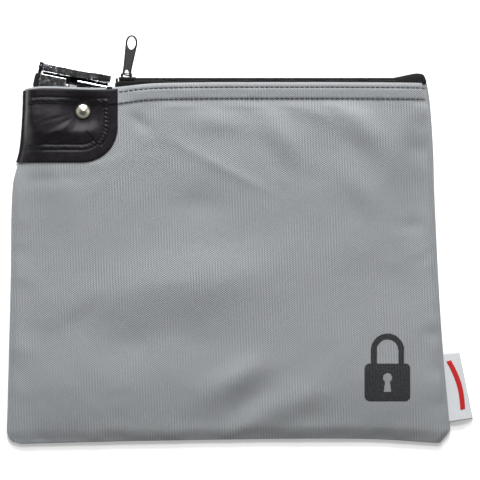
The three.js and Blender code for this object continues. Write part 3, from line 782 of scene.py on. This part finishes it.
def settle(x, y, z, floor_depth, seed):
    """Lets a panel's cloth, cut a little too large, settle under its own weight. Returns its moves."""
    rows, columns = x.shape
    start = as_points(x, y, z + 0.15 * rumple(x, y, 16, seed))
    cloth = make("settling_cloth", start, grid_faces(rows, columns))
    pins = cloth.vertex_groups.new(name="sewn")
    ring = np.zeros((rows, columns), bool)
    ring[0], ring[-1], ring[:, 0], ring[:, -1] = True, True, True, True
    held = ring | (beyond_patch(x, y) <= 1) | (below_mouth(x, y) < HEM_DEEP)
    pins.add(np.flatnonzero(held).tolist(), 1.0, "REPLACE")
    pad = make("settling_pad", as_points(x, y, z - floor_depth), grid_faces(rows, columns))
    pad.modifiers.new("pad", "COLLISION")
    pad.collision.thickness_outer = 0.0005
    simulation = cloth.modifiers.new("cloth", "CLOTH")
    settings = simulation.settings
    settings.vertex_group_mass = "sewn"
    settings.quality = 6
    settings.mass = 0.02
    settings.tension_stiffness = settings.compression_stiffness = 12
    settings.shear_stiffness = 4
    settings.bending_stiffness = 0.25
    settings.shrink_min = -CUT_LARGER
    simulation.collision_settings.distance_min = 0.0005
    simulation.point_cache.frame_end = SETTLE_FRAMES
    scene = bpy.context.scene
    for number in range(1, SETTLE_FRAMES + 1):
        scene.frame_set(number)
    settled = cloth.evaluated_get(bpy.context.evaluated_depsgraph_get()).data
    after = np.zeros(len(start) * 3)
    settled.vertices.foreach_get("co", after)
    scene.frame_set(1)
    moved = after.reshape(-1, 3) / MM - SHIFT - as_points(x, y, z)
    for used in (cloth, pad):
        bpy.data.objects.remove(used)
    return moved.reshape(rows, columns, 3)


def resampled(field, rows, columns):
    """A coarse grid's field, read on a finer grid over the same square."""
    old_rows, old_columns = field.shape[:2]
    r = rows * (old_rows - 1)
    c = columns * (old_columns - 1)
    i, j = np.clip(r.astype(int), 0, old_rows - 2), np.clip(c.astype(int), 0, old_columns - 2)
    a, b = (r - i)[..., None], (c - j)[..., None]
    a, b = a * a * (3 - 2 * a), b * b * (3 - 2 * b)
    low = lerp(field[i, j], field[i, j + 1], b)
    high = lerp(field[i + 1, j], field[i + 1, j + 1], b)
    return lerp(low, high, a)


def blurred(field, times):
    for _ in range(times):
        field = field.copy()
        field[1:-1] = field[1:-1] * 0.5 + (field[2:] + field[:-2]) * 0.25
        field[:, 1:-1] = field[:, 1:-1] * 0.5 + (field[:, 2:] + field[:, :-2]) * 0.25
    return field


def settled_moves(skin, floor_depth, seed, most):
    """How far the panel's points move when the cloth settles, kept under a limit and off the patch."""
    x, y = panel_places()
    up, across = np.meshgrid(*(np.linspace(0, 1, count) for count in SETTLE_GRID), indexing="ij")
    level = lerp(*LEVELS, up)
    cx = lerp(left_edge(level) + EDGE_ROLL, right_edge(level) - EDGE_ROLL, across)
    cy = lerp(bottom_edge(cx) + EDGE_ROLL, top_edge(cx) - 0.35, up)
    moves = blurred(settle(cx, cy, skin(cx, cy), floor_depth, seed), 2)
    fine_up = (y - bottom_edge(x)) / (top_edge(x) - bottom_edge(x))
    fine_across = np.broadcast_to(np.linspace(0, 1, COLUMNS), x.shape)
    fine = blurred(resampled(moves, np.clip(fine_up, 0, 1), fine_across), 4)
    size = np.linalg.norm(fine, axis=-1, keepdims=True)
    fine *= most / np.maximum(size, most)
    calm = smooth(beyond_patch(x, y), 1, 12) * smooth(below_mouth(x, y), HEM_DEEP, HEM_DEEP + 6)
    return fine * calm[..., None]


def panel(name, middle_height, side, moves):
    """A canvas panel with its seam edges rolled in and its hem turned down inside the mouth.

    side is 1 for the front and -1 for the back, whose rolls and hem turn the other way in z.
    """
    x, y = panel_places()
    z = middle_height(x, y)
    main = np.stack([x, y, z], -1) + moves
    drop_by = (CLOTH + 0.1) * side
    left = rolled(main[:, 0], -outward_of(main[:, 0]), EDGE_ROLL, drop_by, 2.2)
    right = rolled(main[:, -1], outward_of(main[:, -1]), EDGE_ROLL, drop_by, 2.2)
    wide = np.stack([*reversed(left), *np.moveaxis(main, 1, 0), *right], 1)
    foot = rolled(wide[0], outward_of(wide[0]), EDGE_ROLL, drop_by, 2.2)
    mouth = rolled(wide[-1], -outward_of(wide[-1]), 0.35, drop_by, HEM_DEEP - 0.4, steps=8)
    for line in mouth[-8:]:
        line[:, 2] = middle_height(line[:, 0], line[:, 1]) - drop_by
    whole = np.stack([*reversed(foot), *wide, *mouth])
    rows, columns = whole.shape[:2]
    margin, lower, upper = len(left), len(foot), rows - len(mouth) - 1

    def keep(r, c):
        outside = c < margin or c >= columns - margin - 1
        return not (outside and (r < lower or r >= upper))

    piece = make(name, whole.reshape(-1, 3), grid_faces(rows, columns, keep))
    bring_round(piece, side)
    return thicken(piece, CLOTH)


def bring_round(piece, side):
    if side < 0:
        piece.data.flip_normals()


def front_middle(x, y):
    return front_skin(x, y) - CLOTH / 2


def back_middle(x, y):
    """The back panel lies on the table, a little drawn up at its seams and between gathers."""
    inward = np.minimum(in_from_sides(x, y), y - bottom_edge(x))
    relief = 0.12 * (1 + rumple(x, y, 21, 31)) * smooth(inward, 1, 14)
    hem = np.clip(hem_relief(x, y), -0.4, 0.4)
    return back_under(x, y) + CLOTH / 2 + relief * smooth(beyond_patch(x, y), 1, 14) - hem * 0.4 + 0.15


def make_panels():
    moves = settled_moves(front_middle, 2.2, 7, 3.0)
    front = panel("front_canvas", front_middle, 1, moves)
    finish_piece(front, "canvas", stands_for=["front_panel"])
    back = panel("back_canvas", back_middle, -1, np.zeros((*panel_places()[0].shape, 3)))
    finish_piece(back, "canvas", stands_for=["back_panel"])
    return front, back


# ---------------------------------------------------------------- vinyl corner patches


def patch_places(rows=120, columns=130):
    """Places of the patch's grid: rows close together where its corner is round."""
    low, turn = PATCH["bottom"], PATCH["round"]
    angle = np.linspace(0, np.pi / 2, rows // 2, endpoint=False)
    straight = np.linspace(low + turn, 98, rows - rows // 2)
    level = np.concatenate([low + turn * (1 - np.cos(angle)), straight])
    level, across = np.meshgrid(level, np.linspace(0, 1, columns), indexing="ij")
    upper = (level - low) / (98 - low)
    x = lerp(left_edge(level) + 0.2, patch_right(level), across)
    return x, lerp(low, top_edge(x) - PATCH["below_edge"], upper)


def in_from_patch_edge(x, y):
    """Distance in from the patch's free edge and its top edge; the side seam doesn't count."""
    low, turn, right = PATCH["bottom"], PATCH["round"], PATCH["right"]
    corner = turn - np.hypot(np.maximum(x - (right - turn), 0), np.maximum(low + turn - y, 0))
    free = np.where((x > right - turn) & (y < low + turn), corner, np.minimum(right - x, y - low))
    foot = np.where(y - low < right - x, 1.0, 0.0) * 2.2
    return np.minimum(free - foot * smooth(free, 2, 7), top_edge(x) - PATCH["below_edge"] - y)


# Creases of the patch that run out from the rivet: rise, bearing from it in radians, half width.
PATCH_CREASES = [
    (-1.0, -2.62, 0.1),
    (0.9, -2.42, 0.12),
    (-0.5, -2.9, 0.07),
    (-0.5, -2.05, 0.1),
    (0.35, -1.2, 0.16),
]
PATCH_STITCH = 2.9


def patch_relief(x, y):
    """Padding inside the stitches, grooves along them, and creases that run from the rivet."""
    inward = in_from_patch_edge(x, y)
    rows = sum(bell(inward - row, 0.7) for row in PATCH_ROWS)
    along = x * 0.7 + y * 1.1
    puff = smooth(inward, PATCH_ROWS[1], PATCH_ROWS[1] + 9)
    away = from_rivet(x, y)
    bearing = np.arctan2(y - RIVET[1], x - RIVET[0])
    creases = sum(rise * bell(bearing - turn, wide) for rise, turn, wide in PATCH_CREASES)
    spread = smooth(away, 5, 13) * bell(away - 18, 17)
    streaks = rumple((x * 0.94 + y * 0.34) * 0.16, y * 0.94 - x * 0.34, 2.4, 23)
    streaks = streaks * bell(np.hypot(x + 124, (y - 68) * 1.6), 16)
    band = 0.22 * rumple(along, inward, 2.9, 17) * bell(inward - 7.3, 2.2)
    laddered = 0.08 + 0.3 * smooth(x, -97, -89)
    between = laddered * np.cos(2 * np.pi * along / PATCH_STITCH) * bell(inward - 7.3, 1.0)
    edge = -0.35 * bell(inward, 0.7)
    pillow = 1.3 * bell(np.hypot((x + 113) / 22, (y - 69) / 8), 1)
    swell = 1.1 * puff + 0.28 * creases * spread * puff + pillow * puff
    return swell + 0.34 * streaks - 0.6 * rows + band + between + edge


def patch_seat(x, y):
    """Where the rivet presses the vinyl down."""
    away = from_rivet(x, y)
    return 1 - smooth(away, 4.4, 8.2)


def front_patch_height(x, y):
    plain = front_inner(x, y) + CANVAS + CLOTH * hem_rise(x, y) + GAP + VINYL / 2
    side = x - left_edge(y)
    gathers = 1.5 * rumple(x * 0.3, y, 4.2, 41) * bell(side - 2.5, 5) * smooth(side, 0, 1.4)
    lumpy = plain + patch_relief(x, y) * smooth(side, 0.5, 9) + gathers
    lumpy = lerp(seam_inner(x, y) + CANVAS + VINYL / 2 - 0.3, lumpy, off_sides(x, y, 3))
    return lerp(lumpy, cap_low.z / MM - VINYL / 2 - 0.05, patch_seat(x, y))


def back_patch_height(x, y):
    """Underside patch, held up off the table by half its own thickness."""
    inward = in_from_patch_edge(x, y)
    rows = sum(bell(inward - row, 0.7) for row in PATCH_ROWS)
    return PINCH_BACK * pinch(x, y, 15.5) + VINYL / 2 + 0.5 * rows * smooth(x - left_edge(y), 0, 4)


def patch(name, height, side, node):
    x, y = patch_places()
    main = np.stack([x, y, height(x, y)], -1)
    drop_by = 1.1 * side
    curl = rolled(main[:, 0], -outward_of(main[:, 0]), 0.7, drop_by, 1.2)
    whole = np.stack([*reversed(curl), *np.moveaxis(main, 1, 0)], 1)
    rows, columns = whole.shape[:2]
    piece = make(name, whole.reshape(-1, 3), grid_faces(rows, columns))
    bring_round(piece, side)
    thicken(piece, VINYL)
    return finish_piece(piece, "vinyl", stands_for=[node])


# ---------------------------------------------------------------- thread


def along_path(path, pitch):
    """Evenly spaced places along a flat path, pitch apart."""
    path = np.asarray(path, float)
    steps = np.concatenate([[0], np.cumsum(np.hypot(*np.diff(path, axis=0).T))])
    at = np.arange(0, steps[-1], pitch)
    return np.stack([np.interp(at, steps, path[:, k]) for k in (0, 1)], 1)


def sew(name, path, tree, pitch, radius, paint, up=True, sink=0.05):
    """A row of lockstitches: each lies on the cloth and dives into it at both ends."""
    spots = along_path(path, pitch)
    gap = 0.17
    stitches = []
    for a, b in zip(spots[:-1], spots[1:]):
        line = []
        for t, lift in ((gap / 2, -1.1), (0.2, 0.25), (0.5, 0.75), (0.8, 0.25), (1 - gap / 2, -1.1)):
            x, y = a + (b - a) * t
            height = drop(tree, x, y, up)
            if height is not None:
                line.append((x, y, height + (lift * radius - sink) * (1 if up else -1)))
        if len(line) == 5:
            stitches.append(line)
    return finish_piece(tubes(name, stitches, radius, 6), "binding", paint=paint)


def hem_path(down):
    x = np.linspace(PATCH["right"] + 0.6, 119, 200)
    return np.stack([x, top_edge(x) - down], 1)


def patch_path(inset):
    """A stitch line round the patch, a given distance in from its top, right and bottom edges."""
    right, low, turn = PATCH["right"] - inset, PATCH["bottom"] + inset + 2.2, PATCH["round"] - inset
    top = [(x, top_edge(x) - PATCH["below_edge"] - inset) for x in np.linspace(-134.5, right - 1, 40)]
    side = [(right, y) for y in np.linspace(top[-1][1] - 1, low + turn, 20)]
    cx, cy = right - turn, low + turn
    angles = np.linspace(0, -math.pi / 2, 24)
    round_corner = [(cx + turn * math.cos(a), cy + turn * math.sin(a)) for a in angles]
    foot = [(x, low) for x in np.linspace(right - turn, -138.5, 30)]
    return [*top, *side, *round_corner, *foot]


def make_stitches(front, back, front_patch, back_patch):
    front_tree, back_tree = surface_of(front), surface_of(back)
    for number, down in enumerate(HEM_ROWS, 1):
        row, radius = hem_path(down), 0.34 - 0.05 * number
        sew(f"front_hem_stitches_{number}", row, front_tree, STITCH, radius, "thread")
        sew(f"back_hem_stitches_{number}", row, back_tree, STITCH, 0.2, "thread", up=False)
    over, under = surface_of(front_patch), surface_of(back_patch)
    for number, inset in enumerate(PATCH_ROWS, 1):
        row, name = patch_path(inset), f"patch_stitches_{number}"
        sew(f"front_{name}", row, over, PATCH_STITCH, 0.24, "black_thread")
        sew(f"back_{name}", row, under, PATCH_STITCH, 0.2, "black_thread", up=False, sink=0.2)
    x, y = -83.6, 97.2
    height = drop(front_tree, x, y)
    knot = []
    for k in range(9):
        offset = -1.6 + 0.4 * k
        knot.append([
            (x + offset, y - 0.75, height - 0.1),
            (x + offset + 0.08, y - 0.3, height + 0.32),
            (x + offset + 0.16, y + 0.3, height + 0.32),
            (x + offset + 0.24, y + 0.75, height - 0.1),
        ])
    finish_piece(tubes("bar_tack", knot, 0.24, 6), "binding", paint="black_thread")


# ---------------------------------------------------------------- zipper

ZIP_MIDDLE = 8.4
TAPE_SPREAD = 5.05  # middle of each tape's thickness, from the zipper's middle
TAPE_TOP = 101.85
COIL = {"y": 102.55, "left": -76.6, "right": 96.5, "pitch": 1.5, "height": 1.3, "reach": 1.25, "away": 1.35}


def make_tape(side, word):
    """A zipper tape: up inside the hem, round, and in to the coil."""
    turn = 1.4
    flat = [(y, TAPE_SPREAD) for y in np.linspace(89, TAPE_TOP - turn, 12)]
    bend = [
        (TAPE_TOP - turn + turn * math.sin(a), TAPE_SPREAD - turn + turn * math.cos(a))
        for a in np.linspace(0.2, math.pi / 2, 8)
    ]
    inner = [(TAPE_TOP, z) for z in np.linspace(TAPE_SPREAD - turn - 0.4, 2.9, 4)]
    section = np.array([*flat, *bend, *inner])
    xs = np.linspace(-79.9, 98.8, 260)
    points = []
    for x in xs:
        end = 1.6 * (1 - smooth(x, -79, -76.5))
        wave = 0.14 * math.sin(x * 0.21 + side) + 0.1 * math.sin(x * 0.47)
        swell = 0.08 * math.sin(x * 0.33) - 0.1
        for y, out in section:
            low = y + (wave - end) * smooth(y, 97, 101)
            points.append((x, low, ZIP_MIDDLE + side * (out + swell)))
    piece = make(f"{word}_zip_tape", points, grid_faces(len(xs), len(section)))
    bring_round(piece, side)
    thicken(piece, 0.42)
    return finish_piece(piece, "zipper_tape", stands_for=[f"{word}_zipper_tape"])


def make_coil(side, word):
    """One half of the coil: a flattened helix, shifted half a turn against the other half."""
    turns = int((COIL["right"] - COIL["left"]) / COIL["pitch"])
    steps = 14
    t = np.arange(turns * steps + 1) / steps
    phase = t * 2 * np.pi
    x = COIL["left"] + COIL["pitch"] * (t + (0.5 if side < 0 else 0))
    x = x + 0.22 * np.sin(phase)
    y = COIL["y"] + COIL["height"] * np.sin(phase) * 0.92
    z = ZIP_MIDDLE + side * (COIL["away"] + COIL["reach"] * np.cos(phase))
    inside = x < COIL["right"]
    path = np.stack([x, y, z], 1)[inside]
    verts, faces = tube(path, 0.3, 7)
    piece = make(f"{word}_zip_coil", verts, faces)
    xs = np.arange(COIL["left"] + 0.5, COIL["right"] - 0.5, 1.5)
    middle = np.full(len(xs), ZIP_MIDDLE + side * COIL["away"])
    core = tubes(f"{word}_coil_cord", [np.stack([xs, np.full(len(xs), COIL["y"]), middle], 1)], 0.86, 10)
    finish_piece(core, "zipper_coil")
    return finish_piece(piece, "zipper_coil", stands_for=[f"{word}_zipper_chain"])


def make_end_fold():
    """The tape's far end, folded over the bottom stop and tucked down inside the hem."""
    tops = [(91.5, 103.2), (100, 104.5), (108, 106.2), (113, 106.8), (116.5, 105.6), (118.3, 101.6)]
    ridge = curve_through(tops)
    around = np.linspace(-1, 1, 33)
    xs = 118.3 - 26.8 * np.linspace(0, 1, 60) ** 1.6
    points = []
    for x in xs:
        half = 3.5 * smooth(119.3 - x, 0, 8) * lerp(0.7, 1, smooth(x, 92, 104)) + 0.15
        wave = 0.12 * math.sin(x * 0.9)
        low = lerp(97.5, 99.6, smooth(x, 108, 115))
        for turn in around:
            up = (1 - abs(turn) ** 2.6) ** 0.7
            points.append((x, lerp(low, ridge(x) - 0.25, up), ZIP_MIDDLE + (half + wave * up) * turn))
    piece = make("zip_end_fold", points, grid_faces(len(xs), len(around)))
    thicken(piece, 0.45)
    return finish_piece(piece, "zipper_tape", stands_for=["zipper_end_tab"])


# ---------------------------------------------------------------- rivet, label and emblem


def make_rivet():
    low, high = cap_low.z / MM, cap_high.z / MM
    rim, wide = low + 0.9, 4.85
    rise = high - rim
    ball = (wide * wide + rise * rise) / (2 * rise)
    profile = [(0, low), (4.3, low), (4.75, low + 0.1), (4.98, low + 0.4), (4.95, low + 0.7)]
    for step in range(15):
        radius = wide * (1 - step / 15)
        profile.append((radius, high - ball + math.sqrt(ball * ball - radius * radius)))
    profile.append((0, high))
    verts, faces = lathe(profile, RIVET)
    finish_piece(make("rivet_dome", verts, faces), "nickel", stands_for=["rivet_cap"])
    low, high = (corner.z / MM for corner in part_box("rivet_post"))
    foot = low + 1.5
    back_cap = [(0, 0), (1.4, 0.02), (2.6, 0.2), (3.6, 0.55), (4.15, 0.95), (4.3, 1.3)]
    profile = [(radius, low + up) for radius, up in back_cap]
    profile += [(4.2, foot), (1.75, foot + 0.1), (1.6, foot + 0.3), (1.6, high - 0.1), (0, high)]
    verts, faces = lathe(profile, RIVET)
    finish_piece(make("rivet_shank", verts, faces), "nickel", stands_for=["rivet_post"])


# The label's fold and its line in the seam, each from its upper end to its lower one.
TAG_FOLD = np.array([(139.4, -70.6), (148.0, -113.4)])
TAG_SEAM = np.array([(126.2, -71.8), (130.2, -116.2)])


def tag_point(along, around):
    """A point of the folded label: along the seam, and from the upper leaf over the fold to the lower."""
    seam, fold = lerp(*TAG_SEAM, along), lerp(*TAG_FOLD, along)
    reach = 1 - abs(around)
    spread = (0.35 + 1.05 * math.sin(min(reach * 1.05, 1) * math.pi)) * (0.7 + 0.5 * along)
    bow = 0.55 * math.sin(math.pi * reach) + 0.25 * math.sin(along * 5 + 1)
    x, y = lerp(fold, seam, abs(around))
    if abs(around) < 0.08:
        spread *= math.sin(abs(around) / 0.08 * math.pi / 2)
    return x, y, 1.55 + bow * 0.4 + (spread if around < 0 else -spread * 0.65)


def make_tag():
    rows, columns = 40, 61
    points = []
    for r in range(rows):
        points += [tag_point(r / (rows - 1), c / (columns - 1) * 2 - 1) for c in range(columns)]
    piece = make("folded_label", points, grid_faces(rows, columns))
    thicken(piece, 0.22)
    finish_piece(piece, "label", stands_for=["side_tag"])
    return piece


def tag_stripe(tag):
    """A plain red band woven into the label's face."""
    tree = surface_of(tag)
    start, end = np.array([132.6, -76.4]), np.array([141.6, -107.4])
    ahead = (end - start) / np.linalg.norm(end - start)
    across = np.array([ahead[1], -ahead[0]])
    rows, columns = 60, 7
    points = []
    for r in range(rows):
        for c in range(columns):
            along = r / (rows - 1)
            bulge = 2.2 * math.sin(math.pi * along)
            x, y = start + (end - start) * along - across * (bulge + (c / (columns - 1) - 0.5) * 3.2)
            points.append((x, y, drop(tree, x, y) + 0.06))
    piece = make("label_stripe", points, grid_faces(rows, columns))
    thicken(piece, 0.08)
    return finish_piece(piece, "label", paint="red_thread")


EMBLEM = {"x": 93.5, "y": -80.5, "body": (14.5, 12.0), "round": 3.0}


def emblem_inside(x, y):
    """A plain padlock: a rounded body, a shackle over it and a keyhole through it."""
    u, v = np.abs(x - EMBLEM["x"]), y - EMBLEM["y"]
    wide, tall = EMBLEM["body"]
    middle = -9.5
    qx, qy = u - (wide - EMBLEM["round"]), np.abs(v - middle) - (tall - EMBLEM["round"])
    body = np.hypot(np.maximum(qx, 0), np.maximum(qy, 0)) < EMBLEM["round"]
    body &= (u < wide) & (np.abs(v - middle) < tall)
    arch = np.where(v > 11, np.hypot(u, v - 11), u)
    shackle = (arch < 10.6) & (arch > 6.8) & (v > 1)
    keyhole = (np.hypot(u, v + 6.5) < 2.9) | ((u < 1.25 + (-6.5 - v) * 0.12) & (v < -6.5) & (v > -15.5))
    return (body & ~keyhole) | shackle


def make_emblem(front):
    tree = surface_of(front)
    step = 0.36
    xs = np.arange(EMBLEM["x"] - 15, EMBLEM["x"] + 15.1, step)
    ys = np.arange(EMBLEM["y"] - 22, EMBLEM["y"] + 22.5, step)
    heights, index = [], {}
    faces = []

    def corner(i, j):
        if (i, j) not in index:
            x, y = xs[0] + i * step, ys[0] + j * step
            index[(i, j)] = len(heights)
            heights.append((x, y, drop(tree, x, y) + 0.045))
        return index[(i, j)]

    for i, x in enumerate(xs):
        for j, y in enumerate(ys):
            if emblem_inside(x + step / 2, y + step / 2):
                faces.append((corner(i, j), corner(i + 1, j), corner(i + 1, j + 1), corner(i, j + 1)))
    piece = make("printed_padlock", heights, faces)
    thicken(piece, 0.05)
    return finish_piece(piece, "canvas", paint="ink")


# ---------------------------------------------------------------- metal and other frame nodes


SHARP = math.radians(36)


def smoothing_group():
    """Geometry nodes that shade smooth across every edge flatter than a limit."""
    group = bpy.data.node_groups.new("smooth_by_angle", "GeometryNodeTree")
    group.interface.new_socket("Geometry", in_out="INPUT", socket_type="NodeSocketGeometry")
    group.interface.new_socket("Geometry", in_out="OUTPUT", socket_type="NodeSocketGeometry")
    start = group.nodes.new("NodeGroupInput")
    end = group.nodes.new("NodeGroupOutput")
    faces = group.nodes.new("GeometryNodeSetShadeSmooth")
    edges = group.nodes.new("GeometryNodeSetShadeSmooth")
    edges.domain = "EDGE"
    angle = group.nodes.new("GeometryNodeInputMeshEdgeAngle")
    flatter = group.nodes.new("FunctionNodeCompare")
    flatter.data_type = "FLOAT"
    flatter.operation = "LESS_THAN"
    flatter.inputs[1].default_value = SHARP
    link = group.links.new
    link(start.outputs[0], faces.inputs["Geometry"])
    link(faces.outputs[0], edges.inputs["Geometry"])
    link(angle.outputs["Unsigned Angle"], flatter.inputs[0])
    link(flatter.outputs[0], edges.inputs["Shade Smooth"])
    link(edges.outputs[0], end.inputs[0])
    return group


SMOOTHING = smoothing_group()


def mark_long_edges(mesh, shortest):
    """Gives the bevel weight to sharp edges that are longer than a limit."""
    corners = [tuple(round(c * 1e6) for c in vertex.co) for vertex in mesh.vertices]
    sides = {}
    for face in mesh.polygons:
        for a, b in face.edge_keys:
            sides.setdefault(frozenset((corners[a], corners[b])), []).append(face.normal.copy())
    weights = mesh.attributes.new("bevel_weight_edge", "FLOAT", "EDGE")
    for edge in mesh.edges:
        a, b = edge.vertices
        normals = sides[frozenset((corners[a], corners[b]))]
        sharp = len(normals) == 2 and normals[0].dot(normals[1]) < math.cos(SHARP)
        long = (mesh.vertices[a].co - mesh.vertices[b].co).length > shortest * MM
        weights.data[edge.index].value = 1.0 if sharp and long else 0.0


def dress(node, slot, bevel=0.0, shortest=0.0):
    """A frame node keeps its shape, and gets softened edges and a finish."""
    piece = NODES[node]
    weld = piece.modifiers.new("weld", "WELD")
    weld.merge_threshold = 1e-6
    if bevel:
        edge = piece.modifiers.new("edges", "BEVEL")
        edge.width = bevel * MM
        edge.segments = 4
        edge.limit_method = "WEIGHT" if shortest else "ANGLE"
        edge.angle_limit = SHARP
        edge.use_clamp_overlap = not shortest
        if shortest:
            mark_long_edges(piece.data, shortest)
    shade = piece.modifiers.new("shading", "NODES")
    shade.node_group = SMOOTHING
    if bevel:
        flats = piece.modifiers.new("flats", "WEIGHTED_NORMAL")
        flats.keep_sharp = True
    piece.data.materials.clear()
    piece.data.materials.append(PAINTS[slot])


LOCK = {"u": -128.4, "v": 108.5, "tilt": math.radians(-11.5), "plate": 4.6}


def lock_point(u, v, z):
    """A place on the lock, whose u runs along its lid and v away from the bag."""
    c, s = math.cos(LOCK["tilt"]), math.sin(LOCK["tilt"])
    return LOCK["u"] + u * c - v * s, LOCK["v"] + u * s + v * c, z


def make_slit_shade_strip():
    """Black strip on the lock's back plate under the lid: a dark sheet that paints the shade in the slit,
    so the gap reads dark.
    """
    crown = [(0.0, -3.2), (0.28, -3.2), (0.34, -1.2), (0.3, 0.6), (0.18, 1.0), (0.0, 1.0)]
    rings, sides = 40, len(crown)
    points = []
    for u in np.linspace(2.6, 44.6, rings):
        points += [lock_point(u, v, LOCK["plate"] - 0.14 + z) for z, v in crown]
    faces = grid_faces(rings, sides)
    last = (rings - 1) * sides
    faces += [(a + sides - 1, a, a + sides, a + 2 * sides - 1) for a in range(0, last, sides)]
    faces += [tuple(reversed(range(sides))), tuple(last + k for k in range(sides))]
    return finish_piece(make("lid_slit_shade_strip", points, faces), "lock_black")


# Nodes, slot, bevel in millimetres, and where only long edges take it, the shortest of them.
DRESSED = [
    (("left_seam_tape", "right_seam_tape", "bottom_seam_tape"), "binding", 0.15, 0),
    (("front_top_stop", "back_top_stop", "bottom_stop"), "stop_metal", 0.3, 0),
    (("slider_body",), "slider_enamel", 0.15, 0),
    (("pull_tab",), "slider_enamel", 0.1, 0),
    (("lock_base", "lock_case"), "chrome", 0.6, 3),
    (("lock_lid",), "chrome", 0.75, 3),
    (("lock_end_block",), "lock_black", 0.4, 0),
    (("lid_knuckle",), "lock_black", 0.25, 0),
    (("key_plug",), "brass", 0.12, 0),
    (("lock_cam", "lid_catch"), "steel", 0.15, 0),
    (("lid_eye_pin", "lid_hinge_pin"), "steel", 0.2, 0),
    (("lid_spring",), "steel", 0.0, 0),
    (("knuckle_rivet_1", "knuckle_rivet_2"), "chrome", 0.12, 0),
]

# ---------------------------------------------------------------- the whole bag

front_canvas, back_canvas = make_panels()
front_vinyl = patch("front_vinyl_patch", front_patch_height, 1, "front_corner_patch")
back_vinyl = patch("back_vinyl_patch", back_patch_height, -1, "back_corner_patch")
make_stitches(front_canvas, back_canvas, front_vinyl, back_vinyl)
tapes = [make_tape(1, "front"), make_tape(-1, "back")]
make_coil(1, "front")
make_coil(-1, "back")
end_fold = make_end_fold()
make_rivet()
label = make_tag()
stripe = tag_stripe(label)
make_emblem(front_canvas)
# black strip that paints the shade in the slit under the lock's lid
make_slit_shade_strip()
for names, slot_name, softened, shortest_edge in DRESSED:
    for node_name in names:
        dress(node_name, slot_name, softened, shortest_edge)
